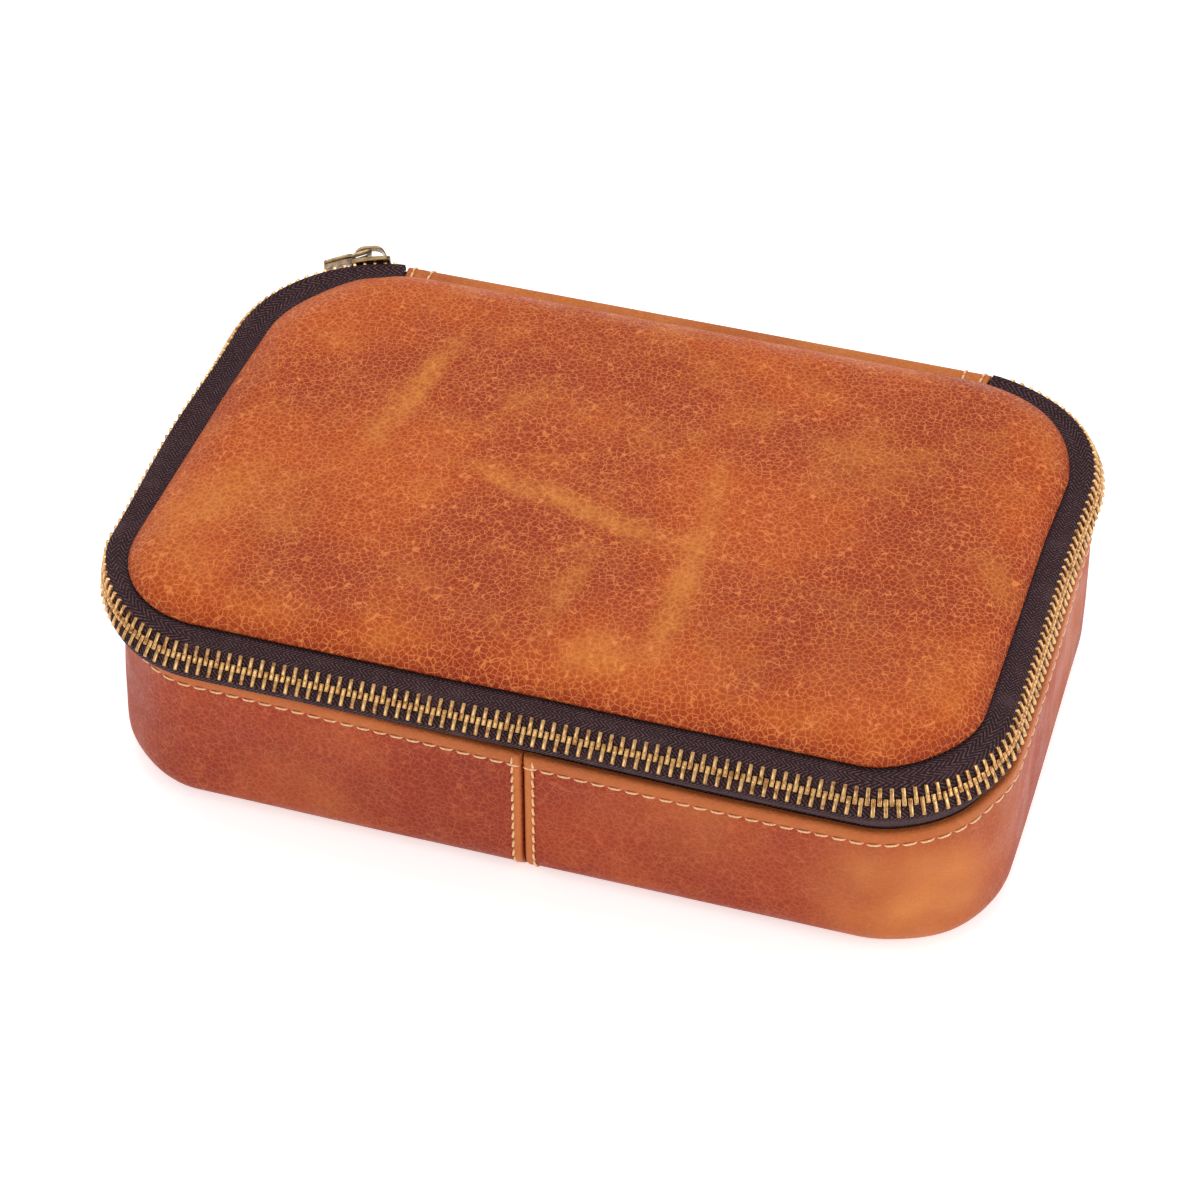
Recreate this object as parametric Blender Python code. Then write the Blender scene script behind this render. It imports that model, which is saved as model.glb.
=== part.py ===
"""Leather shaving kit bag: a stiffened box of pebbled leather with a padded lid that opens all round on a
brass zip and swings back on a leather strip along the rear edge.

Metres, +Z up. X runs along the width, Y along the depth with the hinge at +Y, and Z = 0 is the flat rim
that the bag stands on. The origin is the centre of the underside.
"""
import math

import bmesh
import bpy
import numpy as np
from mathutils import Matrix, Vector

MM = 0.001

# A sewn bag is a little out of true. Each list gives how far (mm) an outline stands out at places round
# the bag, eased from one to the next.
CHAIN_SWAY = [(0.0, 0.0), (0.14, 0.6), (1.1, 0.6), (1.55, 2.0), (2.0, 1.0), (2.6, -0.9), (3.1, 0.0),
              (5.6, 0.0), (6.4, 1.6), (6.85, 0.6), (7.0, 0.0), (8.0, 0.0)]
LID_SWAY = [(0.0, 0.0), (0.3, -1.2), (0.6, -2.5), (0.95, -1.8), (1.4, -0.8), (2.0, -0.2), (2.6, 0.0),
            (4.0, 0.0), (4.5, -1.4), (5.0, -0.6), (5.7, -0.6), (6.1, 0.6), (6.5, 1.5), (6.85, 0.4),
            (7.0, 0.0), (8.0, 0.0)]
BODY_SWAY = [(0.0, 0.0), (0.6, -0.4), (1.2, -1.2), (2.0, -2.0), (2.5, -1.8), (3.0, -0.3), (3.3, 0.0),
             (4.2, 0.0), (4.6, 1.2), (5.2, 1.7), (6.0, 1.2), (6.6, 0.2), (7.0, 0.0), (8.0, 0.0)]

# Plan outlines: half width, half depth, front corner radius, rear corner radius, sway.
CHAIN = (107.0 * MM, 74.5 * MM, 32.0 * MM, 38.0 * MM, CHAIN_SWAY)
LID = (99.9 * MM, 67.4 * MM, 24.0 * MM, 32.0 * MM, LID_SWAY)
BODY = (106.4 * MM, 70.8 * MM, 28.0 * MM, 35.0 * MM, BODY_SWAY)

# The zip hangs from its upper edge. It leans back 45 degrees along the front and stands steeper elsewhere.
ZIP_EDGE_IN = 1.4 * MM
ZIP_EDGE_HEIGHT = 53.0 * MM
LEANS = [(0.0, 60.0), (1.0, 60.0), (1.5, 84.0), (2.0, 84.0), (3.0, 45.0), (4.0, 45.0), (5.0, 66.0),
         (6.0, 66.0), (7.0, 60.0), (8.0, 60.0)]
# The zip's edge rises (mm) at the rear corners.
ZIP_RISES = [(0.0, 1.2), (1.1, 1.2), (1.7, 0.0), (5.6, 0.0), (6.3, 1.0), (7.0, 1.0), (8.0, 1.2)]
BODY_RIM = 42.5 * MM
FRONT_DIP = 4.9 * MM
SIDE_DIP = 1.5 * MM
RIM_IN_LEFT = 3.2 * MM
RIM_IN_RIGHT = 0.6 * MM
RIM_IN_Y = 0.2 * MM
BOTTOM_ROUND = 8.0 * MM
TURNED_EDGE = 17.0 * MM
LEATHER = 1.5 * MM
TAPE = 0.6 * MM
GAP = 0.3 * MM
TAPE_ALLOWANCE = 8.0 * MM
BOARD = 1.0 * MM
BOARD_TOP = 28.5 * MM
LINING = 0.6 * MM
LINING_INSET = 3.1 * MM
FLOOR_HEIGHT = 5.3 * MM

FRONT_SEAM_X = 1.6 * MM
SEAM_STITCH_OFFSET = 2.4 * MM
RIM_STITCH_DROP = 3.6 * MM
THREAD_RADIUS = 0.35 * MM
THREAD_LIFT = GAP + THREAD_RADIUS

LID_EDGE_HEIGHT = 53.5 * MM
LID_LIP = 6.5 * MM
# Padded lid, from its edge to its middle: how far in from the edge, and the height there.
DOME = [(0.0, 54.3), (0.5, 55.1), (1.4, 56.1), (2.9, 57.1), (5.5, 58.3), (9.5, 59.4)]
DOME_INNER = [(15.0, 58.8), (10.5, 58.1), (7.0, 57.2), (4.6, 56.1), (3.0, 55.2), (1.9, 54.8)]
CROWN_SCALES = [(0.72, 60.2), (0.42, 60.8)]
CROWN_SCALES_INNER = [(0.42, 59.4), (0.72, 58.9)]

ZIP_START = 0.105
ZIP_END = 6.895
ROW_START = 0.125
ROW_END = 6.875
LID_ROW_START = 0.50
LID_ROW_END = 6.63
STRIP_END = 0.095
ROW_INNER = 0.6 * MM
ROW_OUTER = 2.9 * MM
ROW_HALF_THICKNESS = 1.1 * MM
TAPE_REACH = 3.3 * MM

HINGE_Y = 73.0 * MM
HINGE_Z = 50.0 * MM

SLIDER_ANGLE = math.radians(113.0)
SLIDER_LENGTH = 10.0 * MM
SLIDER_CENTRE = Vector((-(CHAIN[0] - CHAIN[3]), CHAIN[1] - CHAIN[3], 50.0 * MM))
PULL_LIFT = 4.6 * MM
PULL_SLOPE = math.radians(13.5)
PULL_LENGTH = 12.0 * MM
PULL_WIDTH = 6.2 * MM
PULL_THICKNESS = 0.9 * MM

CORNERS = [(-1.0, 1.0), (-1.0, -1.0), (1.0, -1.0), (1.0, 1.0)]
CORNER_STEPS = 8
SIDE_STEPS = 4


def start_scene():
    """Empty the scene and make one collection for the bag."""
    for thing in list(bpy.data.objects):
        bpy.data.objects.remove(thing, do_unlink=True)
    collection = bpy.data.collections.new("shaving_kit_bag")
    bpy.context.scene.collection.children.link(collection)
    return collection


def finish(name, color, roughness, metallic=0.0):
    """A plain Principled material."""
    material = bpy.data.materials.new(name)
    material.use_nodes = True
    shader = material.node_tree.nodes["Principled BSDF"]
    shader.inputs["Base Color"].default_value = (*color, 1.0)
    shader.inputs["Roughness"].default_value = roughness
    shader.inputs["Metallic"].default_value = metallic
    return material


# Round the bag, place 0 to 8 goes anticlockwise from the rear left corner: even to odd is a corner, odd to
# even is a side, so 3 to 4 is the front and 7 to 8 is the hinge side.

def eased(keys, place):
    """A value that eases from key to key round the bag."""
    place = place % 8.0
    for (first, before), (last, after) in zip(keys, keys[1:]):
        if place <= last:
            part = (place - first) / (last - first)
            return before + (after - before) * part * part * (3.0 - 2.0 * part)
    return keys[-1][1]


def rim_point(outline, place, out_x, height, out_y=None):
    """A point at a place on an outline, moved outward and set at a height."""
    half_x, half_y, front_radius, rear_radius, sways = outline
    leg = int(place // 1) % 8
    part = place - place // 1
    corner = CORNERS[leg // 2]
    after = CORNERS[(leg // 2 + 1) % 4]
    if leg % 2 == 0:
        across, along = corner
        angle = math.radians(90.0 * (1 + leg // 2 + part))
    else:
        across = corner[0] + (after[0] - corner[0]) * part
        along = corner[1] + (after[1] - corner[1]) * part
        angle = math.radians(90.0 * (2 + leg // 2))
    radius = front_radius + (rear_radius - front_radius) * (along + 1.0) / 2.0
    reach_y = half_y - (front_radius if along < 0.0 else rear_radius)
    if leg in (1, 5):
        reach_y = 0.5 * (2.0 * half_y - front_radius - rear_radius)
        middle_y = 0.5 * (front_radius - rear_radius)
        centre_y = middle_y + along * reach_y
    else:
        centre_y = along * reach_y
    centre_x = across * (half_x - radius)
    out_y = out_x if out_y is None else out_y
    swayed = radius + eased(sways, place) * MM
    x = centre_x + (swayed + out_x) * math.cos(angle)
    y = centre_y + (swayed + out_y) * math.sin(angle)
    return Vector((x, y, height))


def places(first, last):
    """Places from first to last, close together in corners and further apart along sides."""
    found = [first]
    leg = math.floor(first)
    while leg < last:
        steps = CORNER_STEPS if leg % 2 == 0 else SIDE_STEPS
        for step in range(1, steps + 1):
            place = leg + step / steps
            if found[0] + 0.02 < place < last - 0.02:
                found.append(place)
        leg += 1
    found.append(last)
    return found


def ring_places():
    """Places once round the whole bag."""
    return places(0.0, 8.0)[:-1]


def put(name, mesh, collection, material, pivot=None):
    """Add a mesh object whose points are in world space, with its origin on its pivot's."""
    piece = bpy.data.objects.new(name, mesh)
    collection.objects.link(piece)
    piece.data.materials.append(material)
    if pivot is not None:
        mesh.transform(pivot.matrix_world.inverted())
        piece.parent = pivot
    return piece


def loft(name, sections, collection, material, closed=False, pivot=None):
    """Skin a run of matching closed sections, joined end to end when closed and capped otherwise."""
    form = bmesh.new()
    rows = [[form.verts.new(point) for point in section] for section in sections]
    count = len(rows[0])
    pairs = list(zip(rows, rows[1:]))
    if closed:
        pairs.append((rows[-1], rows[0]))
    for here, there in pairs:
        for i in range(count):
            j = (i + 1) % count
            form.faces.new((here[i], here[j], there[j], there[i]))
    if not closed:
        form.faces.new(rows[0])
        form.faces.new(rows[-1])
    return finish_mesh(name, form, collection, material, pivot)


def finish_mesh(name, form, collection, material, pivot=None):
    """Turn a bmesh into a smooth-shaded object with sharp edges kept."""
    bmesh.ops.recalc_face_normals(form, faces=form.faces)
    mesh = bpy.data.meshes.new(name)
    form.to_mesh(mesh)
    form.free()
    mesh.shade_smooth()
    mesh.set_sharp_from_angle(angle=math.radians(35.0))
    return put(name, mesh, collection, material, pivot)


def stack(name, rings, collection, material, pivot=None):
    """Skin a stack of rings that starts and ends with a flat cap."""
    form = bmesh.new()
    rows = [[form.verts.new(point) for point in ring] for ring in rings]
    count = len(rows[0])
    for here, there in zip(rows, rows[1:]):
        for i in range(count):
            j = (i + 1) % count
            form.faces.new((here[i], here[j], there[j], there[i]))
    form.faces.new(rows[0])
    form.faces.new(rows[-1])
    return finish_mesh(name, form, collection, material, pivot)


def plate(name, outline, out, low, high, collection, material, pivot=None):
    """A flat sheet with the plan of an outline."""
    rings = [[rim_point(outline, place, out, height) for place in ring_places()] for height in (low, high)]
    return stack(name, rings, collection, material, pivot)


def ring_at(outline, inset, height):
    """One ring of points inside an outline."""
    return [rim_point(outline, place, -inset, height) for place in ring_places()]


def scaled_ring(ring, factor, height):
    """A ring drawn in towards the middle of the bag."""
    return [Vector((point.x * factor, point.y * factor, height)) for point in ring]


def thread(name, points, collection, material, cyclic=False, pivot=None):
    """One run of stitching as a thin round cord."""
    curve = bpy.data.curves.new(name, "CURVE")
    curve.dimensions = "3D"
    curve.bevel_depth = THREAD_RADIUS
    curve.bevel_resolution = 0
    curve.use_fill_caps = not cyclic
    spline = curve.splines.new("POLY")
    spline.points.add(len(points) - 1)
    for knot, point in zip(spline.points, points):
        local = point if pivot is None else pivot.matrix_world.inverted() @ point
        knot.co = (*local, 1.0)
    spline.use_cyclic_u = cyclic
    curve.materials.append(material)
    piece = bpy.data.objects.new(name, curve)
    collection.objects.link(piece)
    piece.parent = pivot
    return piece


def body_rim_height(place):
    """The wall leather's top edge sags along the front, most to the right, and a little at the ends."""
    place = place % 8.0
    if 2.7 < place < 4.7:
        return BODY_RIM - FRONT_DIP * math.sin(math.pi * (0.5 * (place - 2.7)) ** 1.4)
    if 1.0 < place < 2.0 or 5.0 < place < 6.0:
        return BODY_RIM - SIDE_DIP * math.sin(math.pi * (place % 1.0)) ** 1.5
    return BODY_RIM


def rim_in(place):
    """How far the wall's top edge leans in: the left end leans in more than the right."""
    return RIM_IN_RIGHT if 3.5 < place % 8.0 < 7.5 else RIM_IN_LEFT


def wall_out(place, height):
    """Sideways offset of the wall's outer surface at a height."""
    share = height / body_rim_height(place)
    return -rim_in(place) * float(np.interp(share, (0.2, 0.45, 0.72, 1.0), (0.15, 0.3, 0.6, 1.0)))


def wall_profile(place, depth):
    """The wall at one place from its top edge to the turned-under bottom, a depth below the surface."""
    top = body_rim_height(place)
    profile = [(wall_out(place, top) - depth, -RIM_IN_Y - depth, top)]
    for share in (0.72, 0.45):
        profile.append((wall_out(place, share * top) - depth, -depth, share * top))
    foot = wall_out(place, 0.0)
    for degrees in (0, 30, 60, 90):
        turn = math.radians(degrees)
        out = -BOTTOM_ROUND + (BOTTOM_ROUND - depth) * math.cos(turn)
        height = BOTTOM_ROUND - (BOTTOM_ROUND - depth) * math.sin(turn)
        profile.append((foot + out, out, height))
    profile.append((-TURNED_EDGE, -TURNED_EDGE, depth))
    return profile


def wall_point(place, knot):
    """A point of a wall profile in space."""
    out_x, out_y, height = knot
    return rim_point(BODY, place, out_x, height, out_y)


def wall_half(name, first, last, collection, material):
    """Half of the wall leather, from the front seam round one end to the rear seam."""
    sections = []
    for place in places(first, last):
        outer = wall_profile(place, 0.0)
        inner = wall_profile(place, LEATHER)
        sections.append([wall_point(place, knot) for knot in outer + inner[::-1]])
    return loft(name, sections, collection, material)


def band(name, outline, span, profile, collection, material, pivot=None):
    """A strip that follows an outline, with one closed profile of (outward, height) points."""
    run = ring_places() if span is None else places(*span)
    sections = [[rim_point(outline, place, out, height) for out, height in profile] for place in run]
    return loft(name, sections, collection, material, closed=span is None, pivot=pivot)


def zip_band(name, span, corners, collection, material, pivot=None):
    """A strip along the zip, with one closed profile of (across, out) corners."""
    sections = [[zip_point(place, across, out) for across, out in corners] for place in places(*span)]
    return loft(name, sections, collection, material, pivot=pivot)


def upper_tape_section(place):
    """The lid-side zip tape, from under the lid's edge out to the teeth."""
    half = 0.5 * TAPE
    height = LID_EDGE_HEIGHT - GAP
    top = [(-13.5 * MM, height), (-5.0 * MM, height)]
    bottom = [(-5.0 * MM, height - TAPE), (-13.5 * MM, height - TAPE)]
    edge = [zip_offset(place, TAPE_REACH, half), zip_offset(place, TAPE_REACH, -half)]
    return [rim_point(CHAIN, place, out, level) for out, level in top + edge + bottom]


def upper_tape(name, span, collection, material, pivot=None):
    """One stretch of the lid-side zip tape."""
    sections = [upper_tape_section(place) for place in places(*span)]
    return loft(name, sections, collection, material, pivot=pivot)


def thicken(line, amount):
    """A closed profile from an open line of (outward, height) points, thickened to its left side."""
    other = []
    for i, (out, height) in enumerate(line):
        before = line[max(i - 1, 0)]
        after = line[min(i + 1, len(line) - 1)]
        run = Vector((after[0] - before[0], after[1] - before[1])).normalized()
        other.append((out - run.y * amount, height + run.x * amount))
    return line + other[::-1]


def zip_offset(place, across, out):
    """Outward offset and height of a point given across the chain (towards the lid) and out from it."""
    lean = math.radians(eased(LEANS, place))
    edge_height = ZIP_EDGE_HEIGHT + eased(ZIP_RISES, place) * MM
    down = across - ROW_OUTER
    inward = out - ROW_HALF_THICKNESS
    outward = -ZIP_EDGE_IN - down * math.cos(lean) + inward * math.sin(lean)
    return outward, edge_height + down * math.sin(lean) + inward * math.cos(lean)


def zip_point(place, across, out):
    """A point near the zip chain."""
    outward, height = zip_offset(place, across, out)
    return rim_point(CHAIN, place, outward, height)


def slider_point(turn, across, out):
    """A point near the zip at an angle round the rear left corner."""
    return zip_point(math.degrees(turn) / 90.0 - 1.0, across, out)


def make_walls(collection, leather, thread_material):
    """Two wall halves, sewn together at the front and the rear."""
    reach = BODY[0] - BODY[2]
    front = 3.5 + 0.5 * FRONT_SEAM_X / reach
    half_gap = 0.25 * GAP / reach
    wall_half("wall_leather_left", -0.5 + half_gap, front - half_gap, collection, leather)
    wall_half("wall_leather_right", front + half_gap, 7.5 - half_gap, collection, leather)
    step = 0.5 * SEAM_STITCH_OFFSET / reach
    for side, name in ((-1, "left"), (1, "right")):
        make_seam_thread("front_seam_thread_" + name, front + side * step, collection, thread_material)
        make_seam_thread("rear_seam_thread_" + name, 7.5 - side * step, collection, thread_material)
    route = []
    for place in ring_places():
        height = body_rim_height(place) - RIM_STITCH_DROP
        route.append(rim_point(BODY, place, THREAD_LIFT + wall_out(place, height), height, THREAD_LIFT))
    thread("rim_thread", route, collection, thread_material, cyclic=True)


def make_seam_thread(name, place, collection, material):
    """Stitching that runs down beside a wall seam."""
    profile = wall_profile(place, -THREAD_LIFT)
    top = body_rim_height(place)
    profile[0] = (profile[0][0], profile[0][1], top - RIM_STITCH_DROP - 1.2 * MM)
    route = [wall_point(place, knot) for knot in profile[:5]]
    thread(name, route, collection, material)


def make_base(collection, leather, board):
    """The base leather on the turned edges, and its stiffener."""
    plate("base_leather", BODY, -7.4 * MM, 1.8 * MM, 3.3 * MM, collection, leather)
    plate("base_board", BODY, -4.4 * MM, 3.6 * MM, 5.0 * MM, collection, board)


def make_wall_board(collection, board):
    """The stiffener inside the walls, below the zip tape's seam allowance."""
    low, middle, high = BOTTOM_ROUND, 0.5 * BOARD_TOP, BOARD_TOP
    outer, inner = LEATHER + GAP, LEATHER + GAP + BOARD
    corners = [(outer, low), (inner, low), (inner, middle), (inner, high), (outer, high), (outer, middle)]
    sections = []
    for place in ring_places():
        section = [rim_point(BODY, place, wall_out(place, height) - depth, height, -depth)
                   for depth, height in corners]
        sections.append(section)
    loft("wall_board", sections, collection, board, closed=True)


def lining_point(place, depth, height):
    """A point of the lining, a depth inside the wall's outer surface."""
    return rim_point(BODY, place, wall_out(place, height) - depth, height, -RIM_IN_Y - depth)


def make_body_lining(collection, lining):
    """The cloth lining: an open box inside the stiffeners."""
    rings = []
    for depth in (LINING_INSET, LINING_INSET + LINING):
        floor = FLOOR_HEIGHT + depth - LINING_INSET
        found = [ring_at(BODY, depth + 3.5 * MM, floor)]
        for inset, height in ((1.0 * MM, floor + 1.2 * MM), (0.0, floor + 4.0 * MM), (0.0, 20.0 * MM),
                              (0.0, 30.0 * MM)):
            found.append([lining_point(place, depth + inset, height) for place in ring_places()])
        found.append([lining_point(place, depth, body_rim_height(place) - 0.5 * MM)
                      for place in ring_places()])
        rings.append(found)
    outer, inner = rings
    stack("body_lining", outer + inner[::-1], collection, lining)


def lower_tape_section(place):
    """The case-side zip tape: from the teeth it drops in behind the wall leather's top edge."""
    rim = body_rim_height(place)
    half = 0.5 * TAPE
    start = zip_offset(place, -TAPE_REACH, half)
    back = zip_offset(place, -TAPE_REACH, -half)
    drops = [(-0.1 * MM, -1.0 * MM), (-0.9 * MM, -2.1 * MM)]
    near = [start] + [(start[0] + out, start[1] + drop) for out, drop in drops]
    far = [(back[0] + out - 0.1 * MM, back[1] + drop) for out, drop in drops[::-1]] + [back]
    outside = [rim_point(CHAIN, place, out, height) for out, height in near]
    inside = [rim_point(CHAIN, place, out, height) for out, height in far]
    for extra, side in ((0.0, outside), (TAPE, inside)):
        knots = [(0.9 * MM - 0.5 * extra, rim + 1.2 * MM + 0.8 * extra),
                 (-extra, rim + 0.1 * MM + 0.5 * extra), (-extra, rim - TAPE_ALLOWANCE)]
        tucked = []
        for out, height in knots:
            inset = out - LEATHER - GAP
            level = min(height, rim)
            tucked.append(rim_point(BODY, place, wall_out(place, level) + inset, height, inset - RIM_IN_Y))
        if extra:
            side[:0] = tucked[::-1]
        else:
            side.extend(tucked)
    return outside + inside


def make_zip(collection, tape, brass, lid_pivot):
    """The two zip tapes with their rows of teeth and the end stops."""
    sections = [lower_tape_section(place) for place in places(ZIP_START, ZIP_END)]
    loft("lower_zip_tape", sections, collection, tape)
    seam = 0.008
    upper_tape("upper_zip_tape", (LID_ROW_START, LID_ROW_END), collection, tape, lid_pivot)
    upper_tape("upper_tape_end_left", (ZIP_START, LID_ROW_START - seam), collection, tape)
    upper_tape("upper_tape_end_right", (LID_ROW_END + seam, ZIP_END), collection, tape)
    ends = (("left", ROW_START, LID_ROW_START - seam), ("right", LID_ROW_END + seam, ROW_END))
    thick = ROW_HALF_THICKNESS
    lower = [(-ROW_OUTER, -thick), (-ROW_INNER, -thick), (-ROW_INNER, thick), (-ROW_OUTER, thick)]
    upper = [(ROW_INNER, -thick), (ROW_OUTER, -thick), (ROW_OUTER, thick), (ROW_INNER, thick)]
    zip_band("lower_teeth_row", (ROW_START, ROW_END), lower, collection, brass)
    zip_band("upper_teeth_row", (LID_ROW_START, LID_ROW_END), upper, collection, brass, lid_pivot)
    for name, first, last in ends:
        zip_band("upper_teeth_end_" + name, (first, last), upper, collection, brass)


def make_lid(collection, leather, foam, board, lining, pivot):
    """The padded lid: domed leather turned under at its edge, foam, a board and a cloth lining."""
    lip_in = LID_LIP
    outer = [ring_at(LID, lip_in, LID_EDGE_HEIGHT), ring_at(LID, 0.5 * MM, LID_EDGE_HEIGHT)]
    outer += [ring_at(LID, inset * MM, height * MM) for inset, height in DOME]
    last = ring_at(LID, 15.0 * MM, 59.9 * MM)
    outer.append(last)
    outer += [scaled_ring(last, factor, height * MM) for factor, height in CROWN_SCALES]
    inner = [ring_at(LID, inset * MM, height * MM) for inset, height in DOME_INNER]
    core = inner[0]
    under = [scaled_ring(core, factor, height * MM) for factor, height in CROWN_SCALES_INNER] + inner
    under.append(ring_at(LID, lip_in, LID_EDGE_HEIGHT + 1.3 * MM))
    loft_rings("lid_leather", outer, under, collection, leather, pivot)
    floor = LID_EDGE_HEIGHT + 1.9 * MM
    heights = [(4.6 * MM, floor), (5.0 * MM, floor + 0.5 * MM), (7.2 * MM, 56.8 * MM),
               (10.6 * MM, 57.75 * MM)]
    rings = [ring_at(LID, inset, height) for inset, height in heights]
    rings += [ring_at(LID, 15.0 * MM, 58.45 * MM), scaled_ring(core, 0.72, 58.55 * MM)]
    rings.append(scaled_ring(core, 0.42, 59.0 * MM))
    stack("lid_foam", rings, collection, foam, pivot)
    plate("lid_board", LID, -lip_in - GAP, LID_EDGE_HEIGHT, LID_EDGE_HEIGHT + 1.5 * MM, collection, board,
          pivot)
    plate("lid_lining", LID, -1.1 * MM, 51.6 * MM, 52.2 * MM, collection, lining, pivot)


def loft_rings(name, outer, under, collection, material, pivot):
    """Skin an outer run of rings to its crown, and an inner run back to the start, as one closed shell."""
    form = bmesh.new()
    outside = [[form.verts.new(point) for point in ring] for ring in outer]
    inside = [[form.verts.new(point) for point in ring] for ring in under]
    count = len(outside[0])
    joined = list(zip(outside, outside[1:])) + list(zip(inside, inside[1:])) + [(inside[-1], outside[0])]
    for here, there in joined:
        for i in range(count):
            j = (i + 1) % count
            form.faces.new((here[i], here[j], there[j], there[i]))
    form.faces.new(outside[-1])
    form.faces.new(inside[0])
    return finish_mesh(name, form, collection, material, pivot)


def make_hinge(collection, leather, lining, thread_material):
    """The leather strip that joins lid and case, its lining, and two rows of stitching at each end."""
    span = (7.0 - STRIP_END, 8.0 + STRIP_END)
    line = [(-13.5, 52.4), (-3.2, 52.4), (-1.2, 51.6), (0.1, 49.8), (0.3, 47.2), (-1.0, 45.3),
            (-5.9, 43.9)]
    line = [(out * MM, height * MM) for out, height in line]
    line += [(-6.7 * MM, BODY_RIM - 0.2 * MM), (-6.7 * MM, BODY_RIM - TAPE_ALLOWANCE)]
    band("hinge_leather", CHAIN, span, thicken(line, 0.8 * MM), collection, leather)
    inside = [(-7.9, 51.5), (-3.4, 51.3), (-1.6, 50.0), (-1.8, 47.6), (-3.0, 46.0), (-7.2, 44.9)]
    inside = [(out * MM, height * MM) for out, height in inside]
    band("hinge_lining", CHAIN, span, thicken(inside, 0.4 * MM), collection, lining)
    over = [(-5.6, 53.7), (-2.9, 53.7), (-0.3, 52.9), (1.5, 50.3), (1.65, 46.6), (0.7, 45.0)]
    for side, name in ((-1, "left"), (1, "right")):
        for row, x in ((1, 72.8 * MM), (2, 68.0 * MM)):
            place = hinge_place(side * x)
            route = [rim_point(CHAIN, place, out * MM, height * MM) for out, height in over]
            thread("hinge_thread_%s_%d" % (name, row), route, collection, thread_material)


def hinge_place(x):
    """The place on the rear of the outline at a given X."""
    reach = CHAIN[0] - CHAIN[3]
    if abs(x) <= reach:
        return 7.5 - 0.5 * x / reach
    turn = math.asin((abs(x) - reach) / CHAIN[3]) / math.radians(90.0)
    return 8.0 + turn if x < 0 else 7.0 - turn


def make_stops(collection, brass):
    """The metal stops at the two ends of the zip, on the case-side tape's row."""
    low, high = ROW_HALF_THICKNESS + GAP, ROW_HALF_THICKNESS + 3.0 * GAP
    corners = [(-2.7 * MM, low), (-0.8 * MM, low), (-0.8 * MM, high), (-2.7 * MM, high)]
    zip_band("zip_stop_left", (0.128, 0.15), corners, collection, brass)
    zip_band("zip_stop_right", (6.83, 6.87), corners, collection, brass)


def make_slider(collection, brass):
    """The slider round the chain and the arched bridge that carries its pull."""
    pivot = bpy.data.objects.new("slider_pivot", None)
    collection.objects.link(pivot)
    pivot.location = SLIDER_CENTRE
    bpy.context.view_layer.update()
    half = 0.5 * SLIDER_LENGTH / CHAIN[3]
    wide, lip, narrow, post = 4.2 * MM, 3.4 * MM, 2.6 * MM, 0.32 * MM
    inner, outer, edge = 1.45 * MM, 2.5 * MM, 1.05 * MM
    profile = [(-wide, outer), (wide, outer), (wide, edge), (lip, edge), (lip, inner), (post, inner),
               (post, -inner), (narrow, -inner), (narrow, -outer), (-narrow, -outer), (-narrow, -inner),
               (-post, -inner), (-post, inner), (-lip, inner), (-lip, edge), (-wide, edge)]
    turns = [SLIDER_ANGLE + half * step / 3.0 for step in range(-3, 4)]
    sections = [[slider_point(turn, across, out) for across, out in profile] for turn in turns]
    loft("slider_body", sections, collection, brass, pivot=pivot)
    strap = 1.1 * MM
    arch = []
    for step in range(-6, 7):
        part = step / 6.0
        low = outer + GAP + 2.9 * MM * (1.0 - part ** 4)
        turn = SLIDER_ANGLE + 0.79 * half * part
        corners = [(-strap, low), (strap, low), (strap, low + 0.95 * MM), (-strap, low + 0.95 * MM)]
        arch.append([slider_point(turn, across, out) for across, out in corners])
    loft("slider_bridge", arch, collection, brass, pivot=pivot)
    return pivot


def make_pull(collection, brass, slider_pivot):
    """The pull: a cross bar under the bridge, two arms and a flat tab with an oblong recess."""
    along = Vector((-math.sin(SLIDER_ANGLE), math.cos(SLIDER_ANGLE), 0.0))
    base = slider_point(SLIDER_ANGLE, 0.0, 0.0)
    across = (slider_point(SLIDER_ANGLE, 1.0 * MM, 0.0) - base).normalized()
    out = (slider_point(SLIDER_ANGLE, 0.0, 1.0 * MM) - base).normalized()
    frame = Matrix((along, across, out)).transposed().to_4x4()
    frame.translation = slider_point(SLIDER_ANGLE, 0.0, PULL_LIFT)
    half = 0.5 * PULL_WIDTH
    eye = 1.5 * MM
    bar = 0.45 * MM
    thick = 0.5 * PULL_THICKNESS
    outline = [(-bar, -2.3 * MM), (4.6 * MM, -2.3 * MM), (6.0 * MM, -half), (PULL_LENGTH - 2.0 * MM, -half),
               (PULL_LENGTH, -half + 2.0 * MM), (PULL_LENGTH, half - 2.0 * MM),
               (PULL_LENGTH - 2.0 * MM, half),
               (6.0 * MM, half), (4.6 * MM, 2.3 * MM), (-bar, 2.3 * MM)]
    tab = extruded("pull_tab", outline, -thick, thick, collection, brass)
    hole = [(bar, -eye), (4.6 * MM, -eye), (4.6 * MM, eye), (bar, eye)]
    recess = [(6.2 * MM, -1.7 * MM), (10.4 * MM, -1.7 * MM), (10.4 * MM, 1.7 * MM), (6.2 * MM, 1.7 * MM)]
    cutters = bpy.data.collections.new("cutters")
    bpy.context.scene.collection.children.link(cutters)
    for name, shape, low in (("pull_eye_cutter", hole, -2.0 * MM), ("pull_recess_cutter", recess, 0.15 * MM)):
        cutter = extruded(name, shape, low, 2.0 * MM, cutters, brass)
        cutter.hide_render = True
        cutter.display_type = "WIRE"
        cutter.parent = tab
        cut = tab.modifiers.new(name, "BOOLEAN")
        cut.object = cutter
        cut.solver = "EXACT"
    tab.matrix_world = frame @ Matrix.Rotation(PULL_SLOPE, 4, "Y")
    world = tab.matrix_world.copy()
    tab.parent = slider_pivot
    tab.matrix_parent_inverse = slider_pivot.matrix_world.inverted()
    tab.matrix_world = world


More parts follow.
